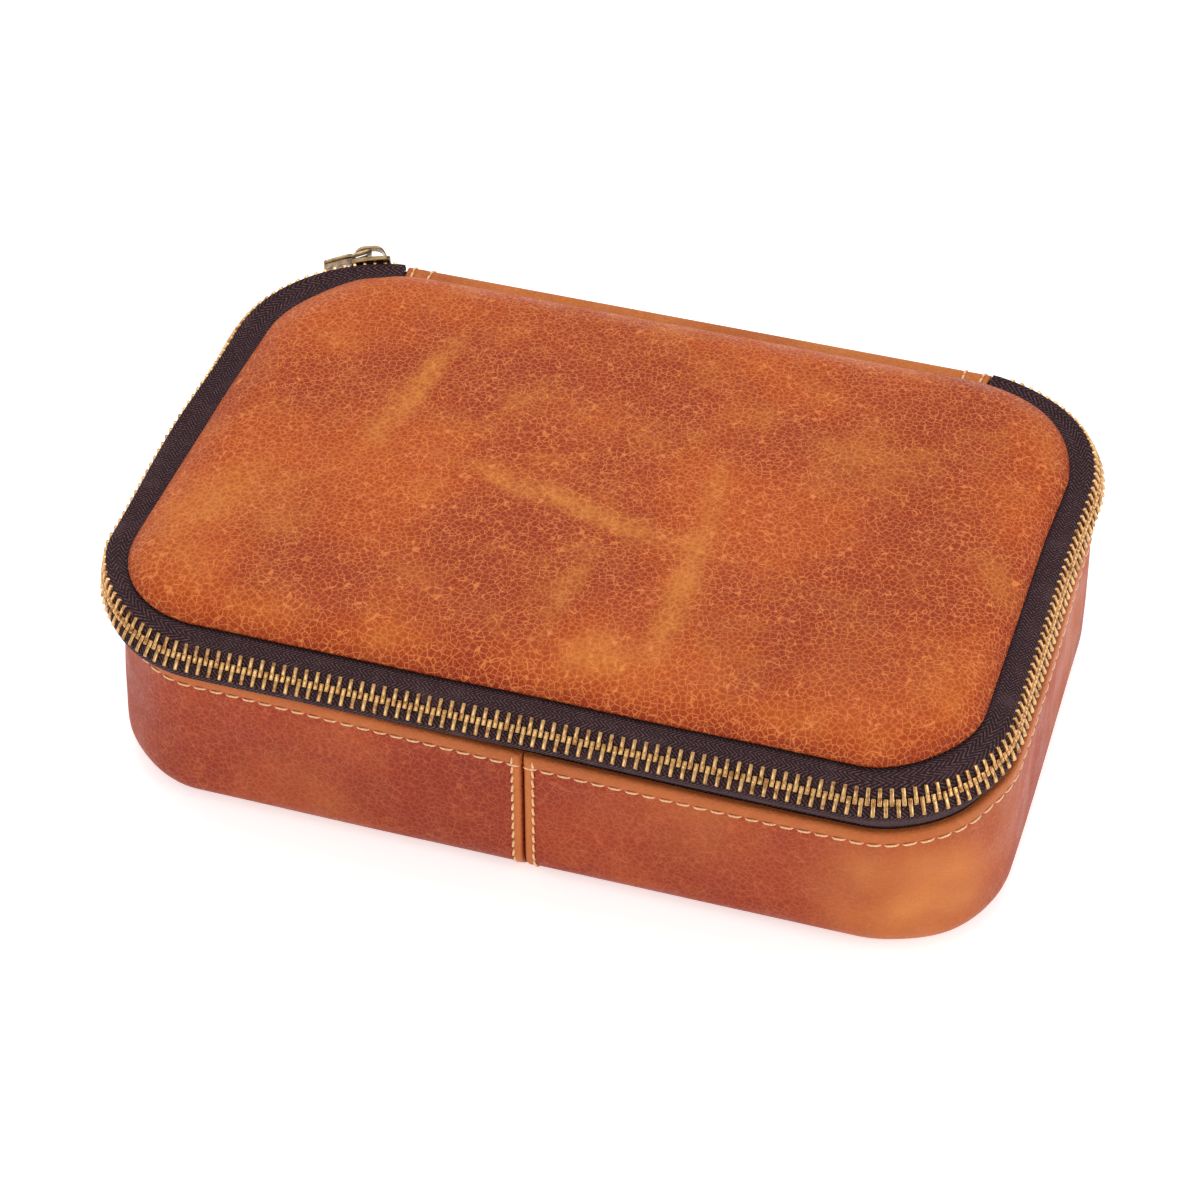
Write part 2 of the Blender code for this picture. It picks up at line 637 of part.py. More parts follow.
def extruded(name, outline, low, high, collection, material):
    """A flat outline given thickness along its own Z."""
    form = bmesh.new()
    base = form.faces.new([form.verts.new((x, y, low)) for x, y in outline])
    raised = bmesh.ops.extrude_face_region(form, geom=[base])
    moved = [item for item in raised["geom"] if isinstance(item, bmesh.types.BMVert)]
    bmesh.ops.translate(form, verts=moved, vec=(0.0, 0.0, high - low))
    return finish_mesh(name, form, collection, material)


def main():
    """Build the bag."""
    collection = start_scene()
    leather = finish("pebbled_leather", (0.45, 0.14, 0.035), 0.5)
    strip = finish("hinge_leather", (0.55, 0.20, 0.06), 0.5)
    thread_material = finish("thread", (0.80, 0.55, 0.30), 0.8)
    tape = finish("zip_tape", (0.045, 0.022, 0.028), 0.9)
    brass = finish("brass", (0.60, 0.38, 0.12), 0.35, 1.0)
    antique = finish("antique_brass", (0.36, 0.27, 0.14), 0.35, 1.0)
    board = finish("stiffener_board", (0.30, 0.22, 0.14), 0.9)
    foam = finish("foam", (0.75, 0.72, 0.60), 0.95)
    lining = finish("cloth_lining", (0.16, 0.09, 0.055), 0.9)
    lid_pivot = bpy.data.objects.new("lid_pivot", None)
    collection.objects.link(lid_pivot)
    lid_pivot.location = (0.0, HINGE_Y, HINGE_Z)
    bpy.context.view_layer.update()
    make_walls(collection, leather, thread_material)
    make_base(collection, leather, board)
    make_wall_board(collection, board)
    make_body_lining(collection, lining)
    make_zip(collection, tape, brass, lid_pivot)
    make_stops(collection, brass)
    make_lid(collection, leather, foam, board, lining, lid_pivot)
    make_hinge(collection, strip, lining, thread_material)
    slider_pivot = make_slider(collection, antique)
    make_pull(collection, antique, slider_pivot)


main()
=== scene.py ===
"""Looks of a leather shaving kit bag: a stiffened box of pebbled leather with a padded lid, a brass zip that
runs round three sides, and a leather hinge strip along the rear.

Metres, in the part's frame: +Z up, X along the width, Y along the depth with the hinge at +Y.
"""
import math

import bmesh
import bpy
import numpy as np
from mathutils import Matrix, Vector, noise


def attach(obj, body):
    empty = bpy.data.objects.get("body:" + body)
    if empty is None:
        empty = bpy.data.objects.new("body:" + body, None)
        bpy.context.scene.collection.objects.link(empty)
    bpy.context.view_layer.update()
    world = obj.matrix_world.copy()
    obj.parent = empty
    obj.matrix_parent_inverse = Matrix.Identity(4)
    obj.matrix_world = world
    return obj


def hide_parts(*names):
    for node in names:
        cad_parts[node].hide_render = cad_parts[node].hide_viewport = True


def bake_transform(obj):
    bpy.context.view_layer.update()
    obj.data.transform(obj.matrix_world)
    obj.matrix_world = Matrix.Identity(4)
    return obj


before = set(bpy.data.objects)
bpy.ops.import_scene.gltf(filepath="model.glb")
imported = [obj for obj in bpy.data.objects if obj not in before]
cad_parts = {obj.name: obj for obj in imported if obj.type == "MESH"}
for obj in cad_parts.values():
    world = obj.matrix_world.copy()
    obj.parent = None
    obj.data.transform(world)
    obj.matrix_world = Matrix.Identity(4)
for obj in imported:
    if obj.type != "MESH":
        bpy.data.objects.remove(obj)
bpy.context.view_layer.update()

MM = 0.001

# How far (mm) each outline stands out of true at places round the bag, eased from one to the next.
CHAIN_SWAY = [(0.0, 0.0), (0.14, 0.6), (1.1, 0.6), (1.55, 2.0), (2.0, 1.0), (2.6, -0.9), (3.1, 0.0),
              (5.6, 0.0), (6.4, 1.6), (6.85, 0.6), (7.0, 0.0), (8.0, 0.0)]
LID_SWAY = [(0.0, 0.0), (0.3, -1.2), (0.6, -2.5), (0.95, -1.8), (1.4, -0.8), (2.0, -0.2), (2.6, 0.0),
            (4.0, 0.0), (4.5, -1.4), (5.0, -0.6), (5.7, -0.6), (6.1, 0.6), (6.5, 1.5), (6.85, 0.4),
            (7.0, 0.0), (8.0, 0.0)]
BODY_SWAY = [(0.0, 0.0), (0.6, -0.4), (1.2, -1.2), (2.0, -2.0), (2.5, -1.8), (3.0, -0.3), (3.3, 0.0),
             (4.2, 0.0), (4.6, 1.2), (5.2, 1.7), (6.0, 1.2), (6.6, 0.2), (7.0, 0.0), (8.0, 0.0)]

# Plan outlines, as in the part: half width, half depth, front corner radius, rear corner radius, sway.
CHAIN = (107.0 * MM, 74.5 * MM, 32.0 * MM, 38.0 * MM, CHAIN_SWAY)
LID = (99.9 * MM, 67.4 * MM, 24.0 * MM, 32.0 * MM, LID_SWAY)
BODY = (106.4 * MM, 70.8 * MM, 28.0 * MM, 35.0 * MM, BODY_SWAY)
CORNERS = [(-1.0, 1.0), (-1.0, -1.0), (1.0, -1.0), (1.0, 1.0)]

# The zip hangs from its upper edge. It leans back by these degrees, and its edge rises by these mm.
ZIP_EDGE_IN = 1.4 * MM
ZIP_EDGE_HEIGHT = 53.0 * MM
LEANS = [(0.0, 60.0), (1.0, 60.0), (1.5, 84.0), (2.0, 84.0), (3.0, 45.0), (4.0, 45.0), (5.0, 66.0),
         (6.0, 66.0), (7.0, 60.0), (8.0, 60.0)]
ZIP_RISES = [(0.0, 1.2), (1.1, 1.2), (1.7, 0.0), (5.6, 0.0), (6.3, 1.0), (7.0, 1.0), (8.0, 1.2)]
ROW_OUTER = 2.9 * MM
ROW_HALF_THICKNESS = 1.1 * MM
TOOTH_PITCH = 2.6 * MM
ZIP_SPAN = (0.105, 6.895)
TEETH_SPAN = (0.128, 6.872)
LID_SPAN = (0.50, 6.63)

BODY_RIM = 42.5 * MM
FRONT_DIP = 4.9 * MM
SIDE_DIP = 1.5 * MM
RIM_IN_LEFT = 3.2 * MM
RIM_IN_RIGHT = 0.6 * MM
RIM_IN_Y = 0.2 * MM
BOTTOM_ROUND = 8.0 * MM
TURNED_EDGE = 17.0 * MM
LEATHER = 1.5 * MM
FRONT_SEAM_X = 1.6 * MM
SEAM_STITCH_OFFSET = 2.4 * MM
RIM_STITCH_DROP = 3.6 * MM
RIM_STITCH = 3.9 * MM
SHORT_STITCH = 2.9 * MM
LID_EDGE_HEIGHT = 53.5 * MM
TAPE = 0.6 * MM

SLIDER_ANGLE = math.radians(113.0)
SLIDER_LENGTH = 10.0 * MM
PULL_LIFT = 4.6 * MM
PULL_SLOPE = math.radians(13.5)


# ---- The outline, the zip and the walls, as functions of a place ----

# Round the bag, place 0 to 8 goes anticlockwise from the rear left corner: even to odd is a corner, odd to
# even is a side, so 3 to 4 is the front and 7 to 8 is the hinge side.

def eased(keys, place):
    """A value that eases from key to key round the bag."""
    place = place % 8.0
    for (first, before), (last, after) in zip(keys, keys[1:]):
        if place <= last:
            part = (place - first) / (last - first)
            return before + (after - before) * part * part * (3.0 - 2.0 * part)
    return keys[-1][1]


def rim_point(outline, place, out_x, height, out_y=None):
    """A point at a place on an outline, moved outward and set at a height."""
    half_x, half_y, front_radius, rear_radius, sways = outline
    leg = int(place // 1) % 8
    part = place - place // 1
    corner = CORNERS[leg // 2]
    after = CORNERS[(leg // 2 + 1) % 4]
    if leg % 2 == 0:
        across, along = corner
        angle = math.radians(90.0 * (1 + leg // 2 + part))
    else:
        across = corner[0] + (after[0] - corner[0]) * part
        along = corner[1] + (after[1] - corner[1]) * part
        angle = math.radians(90.0 * (2 + leg // 2))
    radius = front_radius + (rear_radius - front_radius) * (along + 1.0) / 2.0
    if leg in (1, 5):
        reach = 0.5 * (2.0 * half_y - front_radius - rear_radius)
        centre_y = 0.5 * (front_radius - rear_radius) + along * reach
    else:
        centre_y = along * (half_y - (front_radius if along < 0.0 else rear_radius))
    out_y = out_x if out_y is None else out_y
    swayed = radius + eased(sways, place) * MM
    x = across * (half_x - radius) + (swayed + out_x) * math.cos(angle)
    return Vector((x, centre_y + (swayed + out_y) * math.sin(angle), height))


def zip_offset(place, across, out):
    """Outward offset and height of a point given across the chain (towards the lid) and out from it."""
    lean = math.radians(eased(LEANS, place))
    edge_height = ZIP_EDGE_HEIGHT + eased(ZIP_RISES, place) * MM
    down = across - ROW_OUTER
    inward = out - ROW_HALF_THICKNESS
    outward = -ZIP_EDGE_IN - down * math.cos(lean) + inward * math.sin(lean)
    return outward, edge_height + down * math.sin(lean) + inward * math.cos(lean)


def zip_point(place, across, out):
    """A point near the zip chain."""
    outward, height = zip_offset(place, across, out)
    return rim_point(CHAIN, place, outward, height)


def body_rim_height(place):
    """Height of the wall leather's top edge."""
    place = place % 8.0
    if 2.7 < place < 4.7:
        return BODY_RIM - FRONT_DIP * math.sin(math.pi * (0.5 * (place - 2.7)) ** 1.4)
    if 1.0 < place < 2.0 or 5.0 < place < 6.0:
        return BODY_RIM - SIDE_DIP * math.sin(math.pi * (place % 1.0)) ** 1.5
    return BODY_RIM


def wall_lean(place, height):
    """Sideways offset of the wall's outer surface at a height."""
    inward = RIM_IN_RIGHT if 3.5 < place % 8.0 < 7.5 else RIM_IN_LEFT
    share = max(0.0, height / body_rim_height(place) - 0.1) / 0.9
    return -inward * (0.15 + 0.85 * share ** 1.6)


def wall_point(place, height, out):
    """A point on the wall, a distance out from its surface."""
    pull_y = -RIM_IN_Y * height / BODY_RIM
    return rim_point(BODY, place, wall_lean(place, height) + out, height, pull_y + out)


def front_place(x):
    """The place on the front of the body at a given X."""
    return 3.5 + 0.5 * x / (BODY[0] - BODY[2])


def spread(first, last, corner_steps=30, side_steps=36):
    """Places from first to last, evenly spread over each corner and side."""
    found = [first]
    for leg in range(math.floor(first), math.ceil(last)):
        steps = corner_steps if leg % 2 == 0 else side_steps
        for step in range(1, steps + 1):
            place = leg + step / steps
            if first + 0.004 < place < last - 0.004:
                found.append(place)
    return found + [last]


def ring(corner_steps=30, side_steps=36):
    """Places once round the whole bag."""
    return spread(0.0, 8.0, corner_steps, side_steps)[:-1]


# ---- Mesh helpers ----

def smooth_line(points, cuts):
    """A Catmull-Rom line through the points, with extra points between each two."""
    points = [np.array(point, float) for point in points]
    padded = [2 * points[0] - points[1]] + points + [2 * points[-1] - points[-2]]
    found = []
    for i in range(1, len(padded) - 2):
        a, b, c, d = padded[i - 1:i + 3]
        for step in range(cuts):
            t = step / cuts
            found.append(0.5 * (2 * b + (c - a) * t + (2 * a - 5 * b + 4 * c - d) * t * t
                                + (3 * b - a - 3 * c + d) * t ** 3))
    return found + [points[-1]]


def running(points):
    """Distance travelled at each point of a line."""
    steps = [0.0] + [(Vector(b) - Vector(a)).length for a, b in zip(points, points[1:])]
    return np.cumsum(steps)


def finish_mesh(name, form, material, sharp=40.0):
    """A smooth-shaded object from a bmesh, with its sharp edges kept."""
    bmesh.ops.recalc_face_normals(form, faces=form.faces)
    mesh = bpy.data.meshes.new(name)
    form.to_mesh(mesh)
    form.free()
    mesh.shade_smooth()
    mesh.set_sharp_from_angle(angle=math.radians(sharp))
    piece = bpy.data.objects.new(name, mesh)
    bpy.context.scene.collection.objects.link(piece)
    mesh.materials.append(material)
    return piece


def skin(name, sections, material, sharp=40.0):
    """Skin a run of matching closed sections and cap its ends. Its UVs are metres along and across."""
    rows, columns = len(sections), len(sections[0])
    along = running([section[0] for section in sections])
    across = running(list(sections[0]) + [sections[0][0]])
    form = bmesh.new()
    grid = [[form.verts.new(point) for point in section] for section in sections]
    uv = form.loops.layers.uv.new("run")
    for i in range(rows - 1):
        for j in range(columns):
            corners = ((i, j), (i, j + 1), (i + 1, j + 1), (i + 1, j))
            face = form.faces.new([grid[a][b % columns] for a, b in corners])
            for loop, (a, b) in zip(face.loops, corners):
                loop[uv].uv = (along[a], across[b])
    for row in (0, rows - 1):
        face = form.faces.new(grid[row])
        for b, loop in enumerate(face.loops):
            loop[uv].uv = (along[row], across[b])
    return finish_mesh(name, form, material, sharp)


def paint(piece, name, value_at):
    """Store a value for each point of a mesh, for its material to read."""
    attribute = piece.data.attributes.new(name, "FLOAT", "POINT")
    attribute.data.foreach_set("value", [value_at(point.co) for point in piece.data.vertices])


def rounded_box(form, low, high, bevel, segments=2):
    """Add a box with rounded edges to a bmesh. Its corners and the bevel are in millimetres."""
    size = (Vector(high) - Vector(low)) * MM
    middle = (Vector(high) + Vector(low)) * MM / 2
    place = Matrix.Translation(middle) @ Matrix.Diagonal((*size, 1.0))
    made = bmesh.ops.create_cube(form, size=1.0, matrix=place)
    edges = {edge for point in made["verts"] for edge in point.link_edges}
    bmesh.ops.bevel(form, geom=list(edges), offset=bevel * MM, segments=segments, affect="EDGES", profile=0.5)


def template(make):
    """Points and faces of a small shape, to be repeated."""
    form = bmesh.new()
    make(form)
    bmesh.ops.recalc_face_normals(form, faces=form.faces)
    form.verts.index_update()
    points = np.array([point.co for point in form.verts])
    faces = [[point.index for point in face.verts] for face in form.faces]
    form.free()
    return points, faces


def repeated(name, shape, frames, material, sharp=40.0):
    """One mesh of a small shape repeated at each frame (a 4 by 4 matrix)."""
    points, faces = shape
    count = len(points)
    all_points, all_faces = [], []
    for i, place in enumerate(frames):
        turn = np.array(place)
        all_points.append(points @ turn[:3, :3].T + turn[:3, 3])
        all_faces.extend([index + i * count for index in face] for face in faces)
    mesh = bpy.data.meshes.new(name)
    mesh.from_pydata(np.concatenate(all_points).tolist(), [], all_faces)
    mesh.shade_smooth()
    mesh.set_sharp_from_angle(angle=math.radians(sharp))
    mesh.materials.append(material)
    piece = bpy.data.objects.new(name, mesh)
    bpy.context.scene.collection.objects.link(piece)
    return piece


def frame_of(along, across, out, origin):
    """A matrix from three directions and an origin."""
    made = Matrix((along, across, out)).transposed().to_4x4()
    made.translation = origin
    return made


def put(piece, body, slot, *stands_for):
    """Ride on a body and stand for CAD nodes."""
    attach(piece, body)
    if stands_for:
        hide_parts(*stands_for)
    return piece


# Where pieces begin to leave the case and where they are fully with the lid.
ZIP_BEND = ((0.0, 0.0755, 0.050), (0.0, 0.0645, 0.050))
HINGE_BEND = ((0.0, 0.073, 0.0455), (0.0, 0.073, 0.0518))


def bend(piece, ends, stands_for):
    """Bake a piece's transform and stand for a CAD node."""
    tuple(ends[0])
    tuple(ends[1])
    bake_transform(piece)
    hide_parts(stands_for)


def wave(point, size, seed):
    """Smooth unevenness from -1 to 1 with bumps of a given size."""
    return noise.noise(Vector(point) / size + Vector((seed, 1.7 * seed, 0.3 * seed)))


# ---- Materials ----

class Finish:
    """A Principled material and the nodes that drive it."""

    def __init__(self, name, roughness, metallic=0.0, specular=0.5):
        self.material = bpy.data.materials.new(name)
        self.material.use_nodes = True
        self.tree = self.material.node_tree
        self.shader = self.tree.nodes["Principled BSDF"]
        self.shader.inputs["Metallic"].default_value = metallic
        self.shader.inputs["Roughness"].default_value = roughness
        self.shader.inputs["Specular IOR Level"].default_value = specular

    def add(self, kind, inputs, **settings):
        """A node with its settings and inputs."""
        made = self.tree.nodes.new(kind)
        for key, value in settings.items():
            setattr(made, key, value)
        for key, value in inputs.items():
            if isinstance(value, bpy.types.NodeSocket):
                self.tree.links.new(value, made.inputs[key])
            else:
                made.inputs[key].default_value = value
        return made

    def space(self):
        """Object space, which is the bag's own frame in metres."""
        return self.add("ShaderNodeTexCoord", {}).outputs["Object"]

    def uv(self):
        """Metres along and across a strip."""
        return self.add("ShaderNodeUVMap", {}, uv_map="run").outputs["UV"]

    def stored(self, name):
        """A value painted on the mesh."""
        return self.add("ShaderNodeAttribute", {}, attribute_name=name).outputs["Fac"]

    def math(self, operation, a, b=0.0, c=0.0):
        """One sum."""
        return self.add("ShaderNodeMath", {0: a, 1: b, 2: c}, operation=operation).outputs[0]

    def spots(self, where, scale, detail=3.0, roughness=0.55):
        """Noise from 0 to 1."""
        inputs = {"Vector": where, "Scale": scale, "Detail": detail, "Roughness": roughness}
        return self.add("ShaderNodeTexNoise", inputs).outputs["Fac"]

    def warped(self, where, scale, amount):
        """A position pushed about by noise."""
        kind = "ShaderNodeVectorMath"
        push = self.add("ShaderNodeTexNoise", {"Vector": where, "Scale": scale, "Detail": 2.0})
        centred = self.add(kind, {0: push.outputs["Color"], 1: (0.5, 0.5, 0.5)}, operation="SUBTRACT")
        scaled = self.add(kind, {0: centred.outputs[0], "Scale": amount}, operation="SCALE")
        return self.add(kind, {0: where, 1: scaled.outputs[0]}, operation="ADD").outputs[0]

    def edges(self, where, size):
        """Distance to the nearest edge of an irregular cell, as a share of the cell."""
        inputs = {"Vector": where, "Scale": 1.0 / size, "Randomness": 1.0}
        return self.add("ShaderNodeTexVoronoi", inputs, feature="DISTANCE_TO_EDGE").outputs["Distance"]

    def band(self, value, low, high, first=0.0, last=1.0):
        """Map a range of a value to another, smoothly and clamped."""
        inputs = {"Value": value, "From Min": low, "From Max": high, "To Min": first, "To Max": last}
        return self.add("ShaderNodeMapRange", inputs, interpolation_type="SMOOTHSTEP").outputs["Result"]

    def mix(self, share, first, last):
        """A colour between two."""
        made = self.add("ShaderNodeMix", {}, data_type="RGBA")
        for key, value in (("Factor_Float", share), ("A_Color", first), ("B_Color", last)):
            socket = next(item for item in made.inputs if item.identifier == key)
            if isinstance(value, bpy.types.NodeSocket):
                self.tree.links.new(value, socket)
            else:
                socket.default_value = value if isinstance(value, float) else (*value, 1.0)
        return next(item for item in made.outputs if item.identifier == "Result_Color")

    def patch(self, where, centre, length, width, degrees):
        """An oval mark on a level surface that fades out from its centre."""
        inputs = {"Vector": where, "Location": (*centre, 58.0 * MM),
                  "Rotation": (0.0, 0.0, math.radians(degrees)), "Scale": (length, width, 0.05)}
        local = self.add("ShaderNodeMapping", inputs, vector_type="TEXTURE").outputs[0]
        return self.add("ShaderNodeTexGradient", {"Vector": local}, gradient_type="SPHERICAL").outputs["Fac"]

    def drive(self, color=None, roughness=None, height=None, strength=1.0):
        """Link what drives the shader. Height is in metres."""
        if color is not None:
            self.tree.links.new(color, self.shader.inputs["Base Color"])
        if roughness is not None:
            self.tree.links.new(roughness, self.shader.inputs["Roughness"])
        if height is not None:
            bump = self.add("ShaderNodeBump", {"Height": height, "Distance": 1.0, "Strength": strength})
            self.tree.links.new(bump.outputs["Normal"], self.shader.inputs["Normal"])
        return self.material


def srgb(red, green, blue):
    """A linear colour from 0 to 255 sRGB values."""
    shares = [value / 255.0 for value in (red, green, blue)]
    return tuple(v / 12.92 if v <= 0.04045 else ((v + 0.055) / 1.055) ** 2.4 for v in shares)


def leather_finish(name, tones, cell, lines, spot_marks=(), edge=None, fold_wear_and_light=None, strips=False):
    """Pull-up leather: dark cells in a lighter network, cloudy tone, scuffs, a darker edge and a paler folded
    edge. The cells' darker middles are painted shade; the network's paler tone is partly a painted highlight
    on its raised ridges; the edge colour is painted shade on the lid's steep flank and at the walls' foot,
    with darker cloudy patches on the walls; the paler folded-edge colour also carries a painted pool of light
    on the walls' right front corner.
    """
    dark, middle, light, vein_and_highlight = [srgb(*tone) for tone in tones]
    made = Finish(name, 0.5, specular=0.16)
    where = made.uv() if strips else made.space()
    bent = made.warped(where, 320.0, 1.1 * MM)
    cells = made.edges(bent, cell)
    fine = made.edges(made.warped(where, 700.0, 0.5 * MM), 0.55 * cell)
    clouds = made.spots(made.warped(where, 30.0, 20.0 * MM), 20.0, 3.0, 0.48)
    drift = made.spots(where, 75.0, 4.0, 0.6)
    grain = made.spots(where, 2400.0, 2.0)
    color = made.mix(made.band(clouds, 0.34, 0.62), dark, middle)
    color = made.mix(made.math("MULTIPLY", made.band(drift, 0.44, 0.78), 0.42), color, light)
    for centre, length, width, degrees, strength in spot_marks:
        mark = made.patch(made.warped(where, 90.0, 7.0 * MM), centre, length, width, degrees)
        flecks = made.band(made.spots(where, 420.0, 3.0), 0.30, 0.62, 0.45, 1.0)
        share = made.math("MULTIPLY", made.math("MULTIPLY", made.band(mark, 0.0, 0.9), flecks), abs(strength))
        color = made.mix(share, color, light if strength > 0 else dark)
    ridge = made.band(cells, 0.0, 0.11, 1.0, 0.0)
    hair = made.band(fine, 0.0, 0.09, 1.0, 0.0)
    broken = made.band(made.spots(where, 260.0, 2.0), 0.34, 0.58, 0.62, 1.0)
    network = made.math("MULTIPLY", made.math("MAXIMUM", ridge, made.math("MULTIPLY", hair, 0.40)), broken)
    # Painted shade: the hollow middles of the cells are darkened.
    pit_shade = made.math("MULTIPLY", made.band(cells, 0.10, 0.42), made.band(grain, 0.30, 0.70, 0.14, 0.40))
    color = made.mix(pit_shade, color, tuple(0.50 * channel for channel in dark))
    # Painted shade from the edge mask: the lid's steep flank and the walls' foot, with darker cloudy patches
    # on the walls.
    if edge is not None:
        color = made.mix(made.stored("edge"), color, srgb(*edge))
    # The paler folded-edge colour: folded edge, seam strips and wear, with a painted pool of light on the
    # walls' right front corner.
    if fold_wear_and_light is not None:
        color = made.mix(made.stored("fold_wear_and_light"), color, srgb(*fold_wear_and_light))
    # The network's paler colour is partly the grain's own paler lines and partly a painted highlight on its
    # raised ridges.
    color = made.mix(made.math("MULTIPLY", network, lines), color, vein_and_highlight)
    gloss = made.band(made.spots(where, 110.0, 3.0), 0.3, 0.7, 0.42, 0.58)
    relief = made.math("MULTIPLY_ADD", network, 0.10 * MM, made.math("MULTIPLY", grain, 0.02 * MM))
    return made.drive(color, gloss, relief, 0.9)


def tape_finish(name):
    """Zip tape woven in a herringbone, with paler flecks where threads lie on top: a painted highlight on the
    weave.
    """
    made = Finish(name, 0.85, specular=0.25)
    split = made.add("ShaderNodeSeparateXYZ", {"Vector": made.uv()})
    along, across = split.outputs[0], split.outputs[1]
    zig = made.math("PINGPONG", across, 1.7 * MM)
    slant = made.math("MULTIPLY_ADD", zig, 1.2, along)
    turn = made.math("MULTIPLY", slant, math.tau / (1.05 * MM))
    rib = made.math("MULTIPLY_ADD", made.math("SINE", turn), 0.5, 0.5)
    yarn = made.spots(made.uv(), 2200.0, 2.0)
    # Painted highlight: the threads lying on top are coloured paler.
    lit = made.math("MULTIPLY", made.band(rib, 0.30, 0.95), made.band(yarn, 0.40, 0.62, 0.15, 1.0))
    color = made.mix(lit, srgb(28, 11, 16), srgb(108, 74, 78))
    wear = made.math("MULTIPLY", made.band(made.spots(made.uv(), 130.0, 3.0), 0.5, 0.8), 0.3)
    color = made.mix(wear, color, srgb(98, 74, 76))
    return made.drive(color, None, made.math("MULTIPLY", lit, 0.12 * MM), 1.0)


def brass_finish(name, base, shadow, low, high, scale=700.0):
    """Brass with faint tarnish and rub marks."""
    made = Finish(name, 0.35, metallic=1.0)
    where = made.space()
    tarnish = made.spots(where, scale, 3.0)
    color = made.mix(made.band(tarnish, 0.42, 0.72), srgb(*base), srgb(*shadow))
    gloss = made.band(made.spots(where, 2.3 * scale, 2.0), 0.3, 0.7, low, high)
    return made.drive(color, gloss, made.math("MULTIPLY", tarnish, 0.03 * MM), 0.5)


def thread_finish(name, base, shadow):
    """Twisted thread."""
    made = Finish(name, 0.7, specular=0.3)
    where = made.space()
    ply = made.spots(where, 3200.0, 2.0)
    color = made.mix(made.band(ply, 0.35, 0.7), srgb(*base), srgb(*shadow))
    return made.drive(color, None, made.math("MULTIPLY", ply, 0.08 * MM), 0.7)


def cloth_finish(name, base, shadow):
    """Plain woven lining cloth."""
    made = Finish(name, 0.85, specular=0.25)
    split = made.add("ShaderNodeSeparateXYZ", {"Vector": made.space()})
    turns = math.tau / (0.55 * MM)
    waves = [made.math("SINE", made.math("MULTIPLY", split.outputs[i], turns)) for i in range(3)]
    weave = made.math("MULTIPLY", made.math("ADD", waves[0], waves[2]), waves[1])
    lit = made.band(weave, -1.2, 1.2)
    slub = made.band(made.spots(made.space(), 300.0, 3.0), 0.35, 0.7)
    share = made.math("MULTIPLY_ADD", lit, 0.6, made.math("MULTIPLY", slub, 0.4))
    color = made.mix(share, srgb(*shadow), srgb(*base))
    return made.drive(color, None, made.math("MULTIPLY", lit, 0.08 * MM), 0.7)


def plain_finish(name, base, shadow, scale, grain):
    """Board or foam: mottled, with a fine grain."""
    made = Finish(name, 0.9, specular=0.2)
    where = made.space()
    color = made.mix(made.spots(where, scale, 4.0), srgb(*base), srgb(*shadow))
    return made.drive(color, None, made.math("MULTIPLY", made.spots(where, 4.0 * scale, 3.0), grain), 0.8)


# Scuffs (+) and darker clouds (-) on the lid: centre, half length, half width, direction, strength.
LID_MARKS = [((-0.053, 0.020), 0.034, 0.0055, 79.0, 0.75), ((-0.004, -0.011), 0.050, 0.0055, -13.0, 0.75),
             ((0.026, -0.033), 0.034, 0.0050, 92.0, 0.85), ((0.002, -0.038), 0.026, 0.005, 86.0, 0.50),
             ((0.025, 0.002), 0.022, 0.005, 95.0, 0.45), ((0.053, 0.025), 0.020, 0.010, -10.0, 0.45),
             ((0.094, -0.006), 0.016, 0.007, -43.0, 0.6), ((-0.084, -0.031), 0.026, 0.012, 63.0, 0.65),
             ((0.016, -0.056), 0.014, 0.010, 20.0, 0.6), ((-0.025, 0.054), 0.036, 0.014, -5.0, -0.8),
             ((0.050, 0.052), 0.034, 0.012, -8.0, -0.7), ((0.069, 0.001), 0.020, 0.013, 60.0, -0.8),
             ((0.037, -0.042), 0.020, 0.010, -40.0, -0.75), ((0.078, -0.040), 0.016, 0.016, 0.0, -0.6),
             ((0.078, -0.004), 0.050, 0.026, 90.0, -0.45)]

LID_TONES = [(148, 44, 10), (177, 71, 12), (206, 124, 48), (224, 132, 70)]
WALL_TONES = [(138, 42, 20), (157, 56, 27), (186, 92, 46), (202, 112, 68)]
STRIP_TONES = [(174, 88, 36), (194, 108, 46), (210, 132, 64), (220, 142, 82)]

# The lid's edge colour is painted shade on the steep flank of its padded edge.
lid_leather_finish = leather_finish("pebbled_leather_lid", LID_TONES, 1.45 * MM, 0.80, spot_marks=LID_MARKS,
                                    edge=(140, 34, 12))
# The walls' edge colour is painted shade at their foot, with darker cloudy patches; their paler colour also
# paints a pool of light on the right front corner.
wall_leather_finish = leather_finish("pebbled_leather_walls", WALL_TONES, 1.5 * MM, 0.42,
                                     edge=(140, 44, 26), fold_wear_and_light=(214, 132, 66))
strip_leather_finish = leather_finish("hinge_leather", STRIP_TONES, 1.1 * MM, 0.25, strips=True)
base_leather_finish = leather_finish("pebbled_leather_base", WALL_TONES, 1.7 * MM, 0.4)
tape_material = tape_finish("zip_tape")
brass_material = brass_finish("brass", (218, 174, 118), (146, 96, 54), 0.22, 0.40)
antique_material = brass_finish("antique_brass", (158, 134, 100), (78, 60, 42), 0.24, 0.44, 420.0)
stitch_material = thread_finish("thread", (244, 202, 156), (214, 156, 104))
lining_material = cloth_finish("cloth_lining", (86, 59, 45), (60, 41, 32))
board_material = plain_finish("stiffener_board", (150, 122, 92), (112, 88, 64), 220.0, 0.1 * MM)
foam_material = plain_finish("foam", (226, 216, 190), (190, 178, 150), 900.0, 0.3 * MM)


# ---- Stitches ----

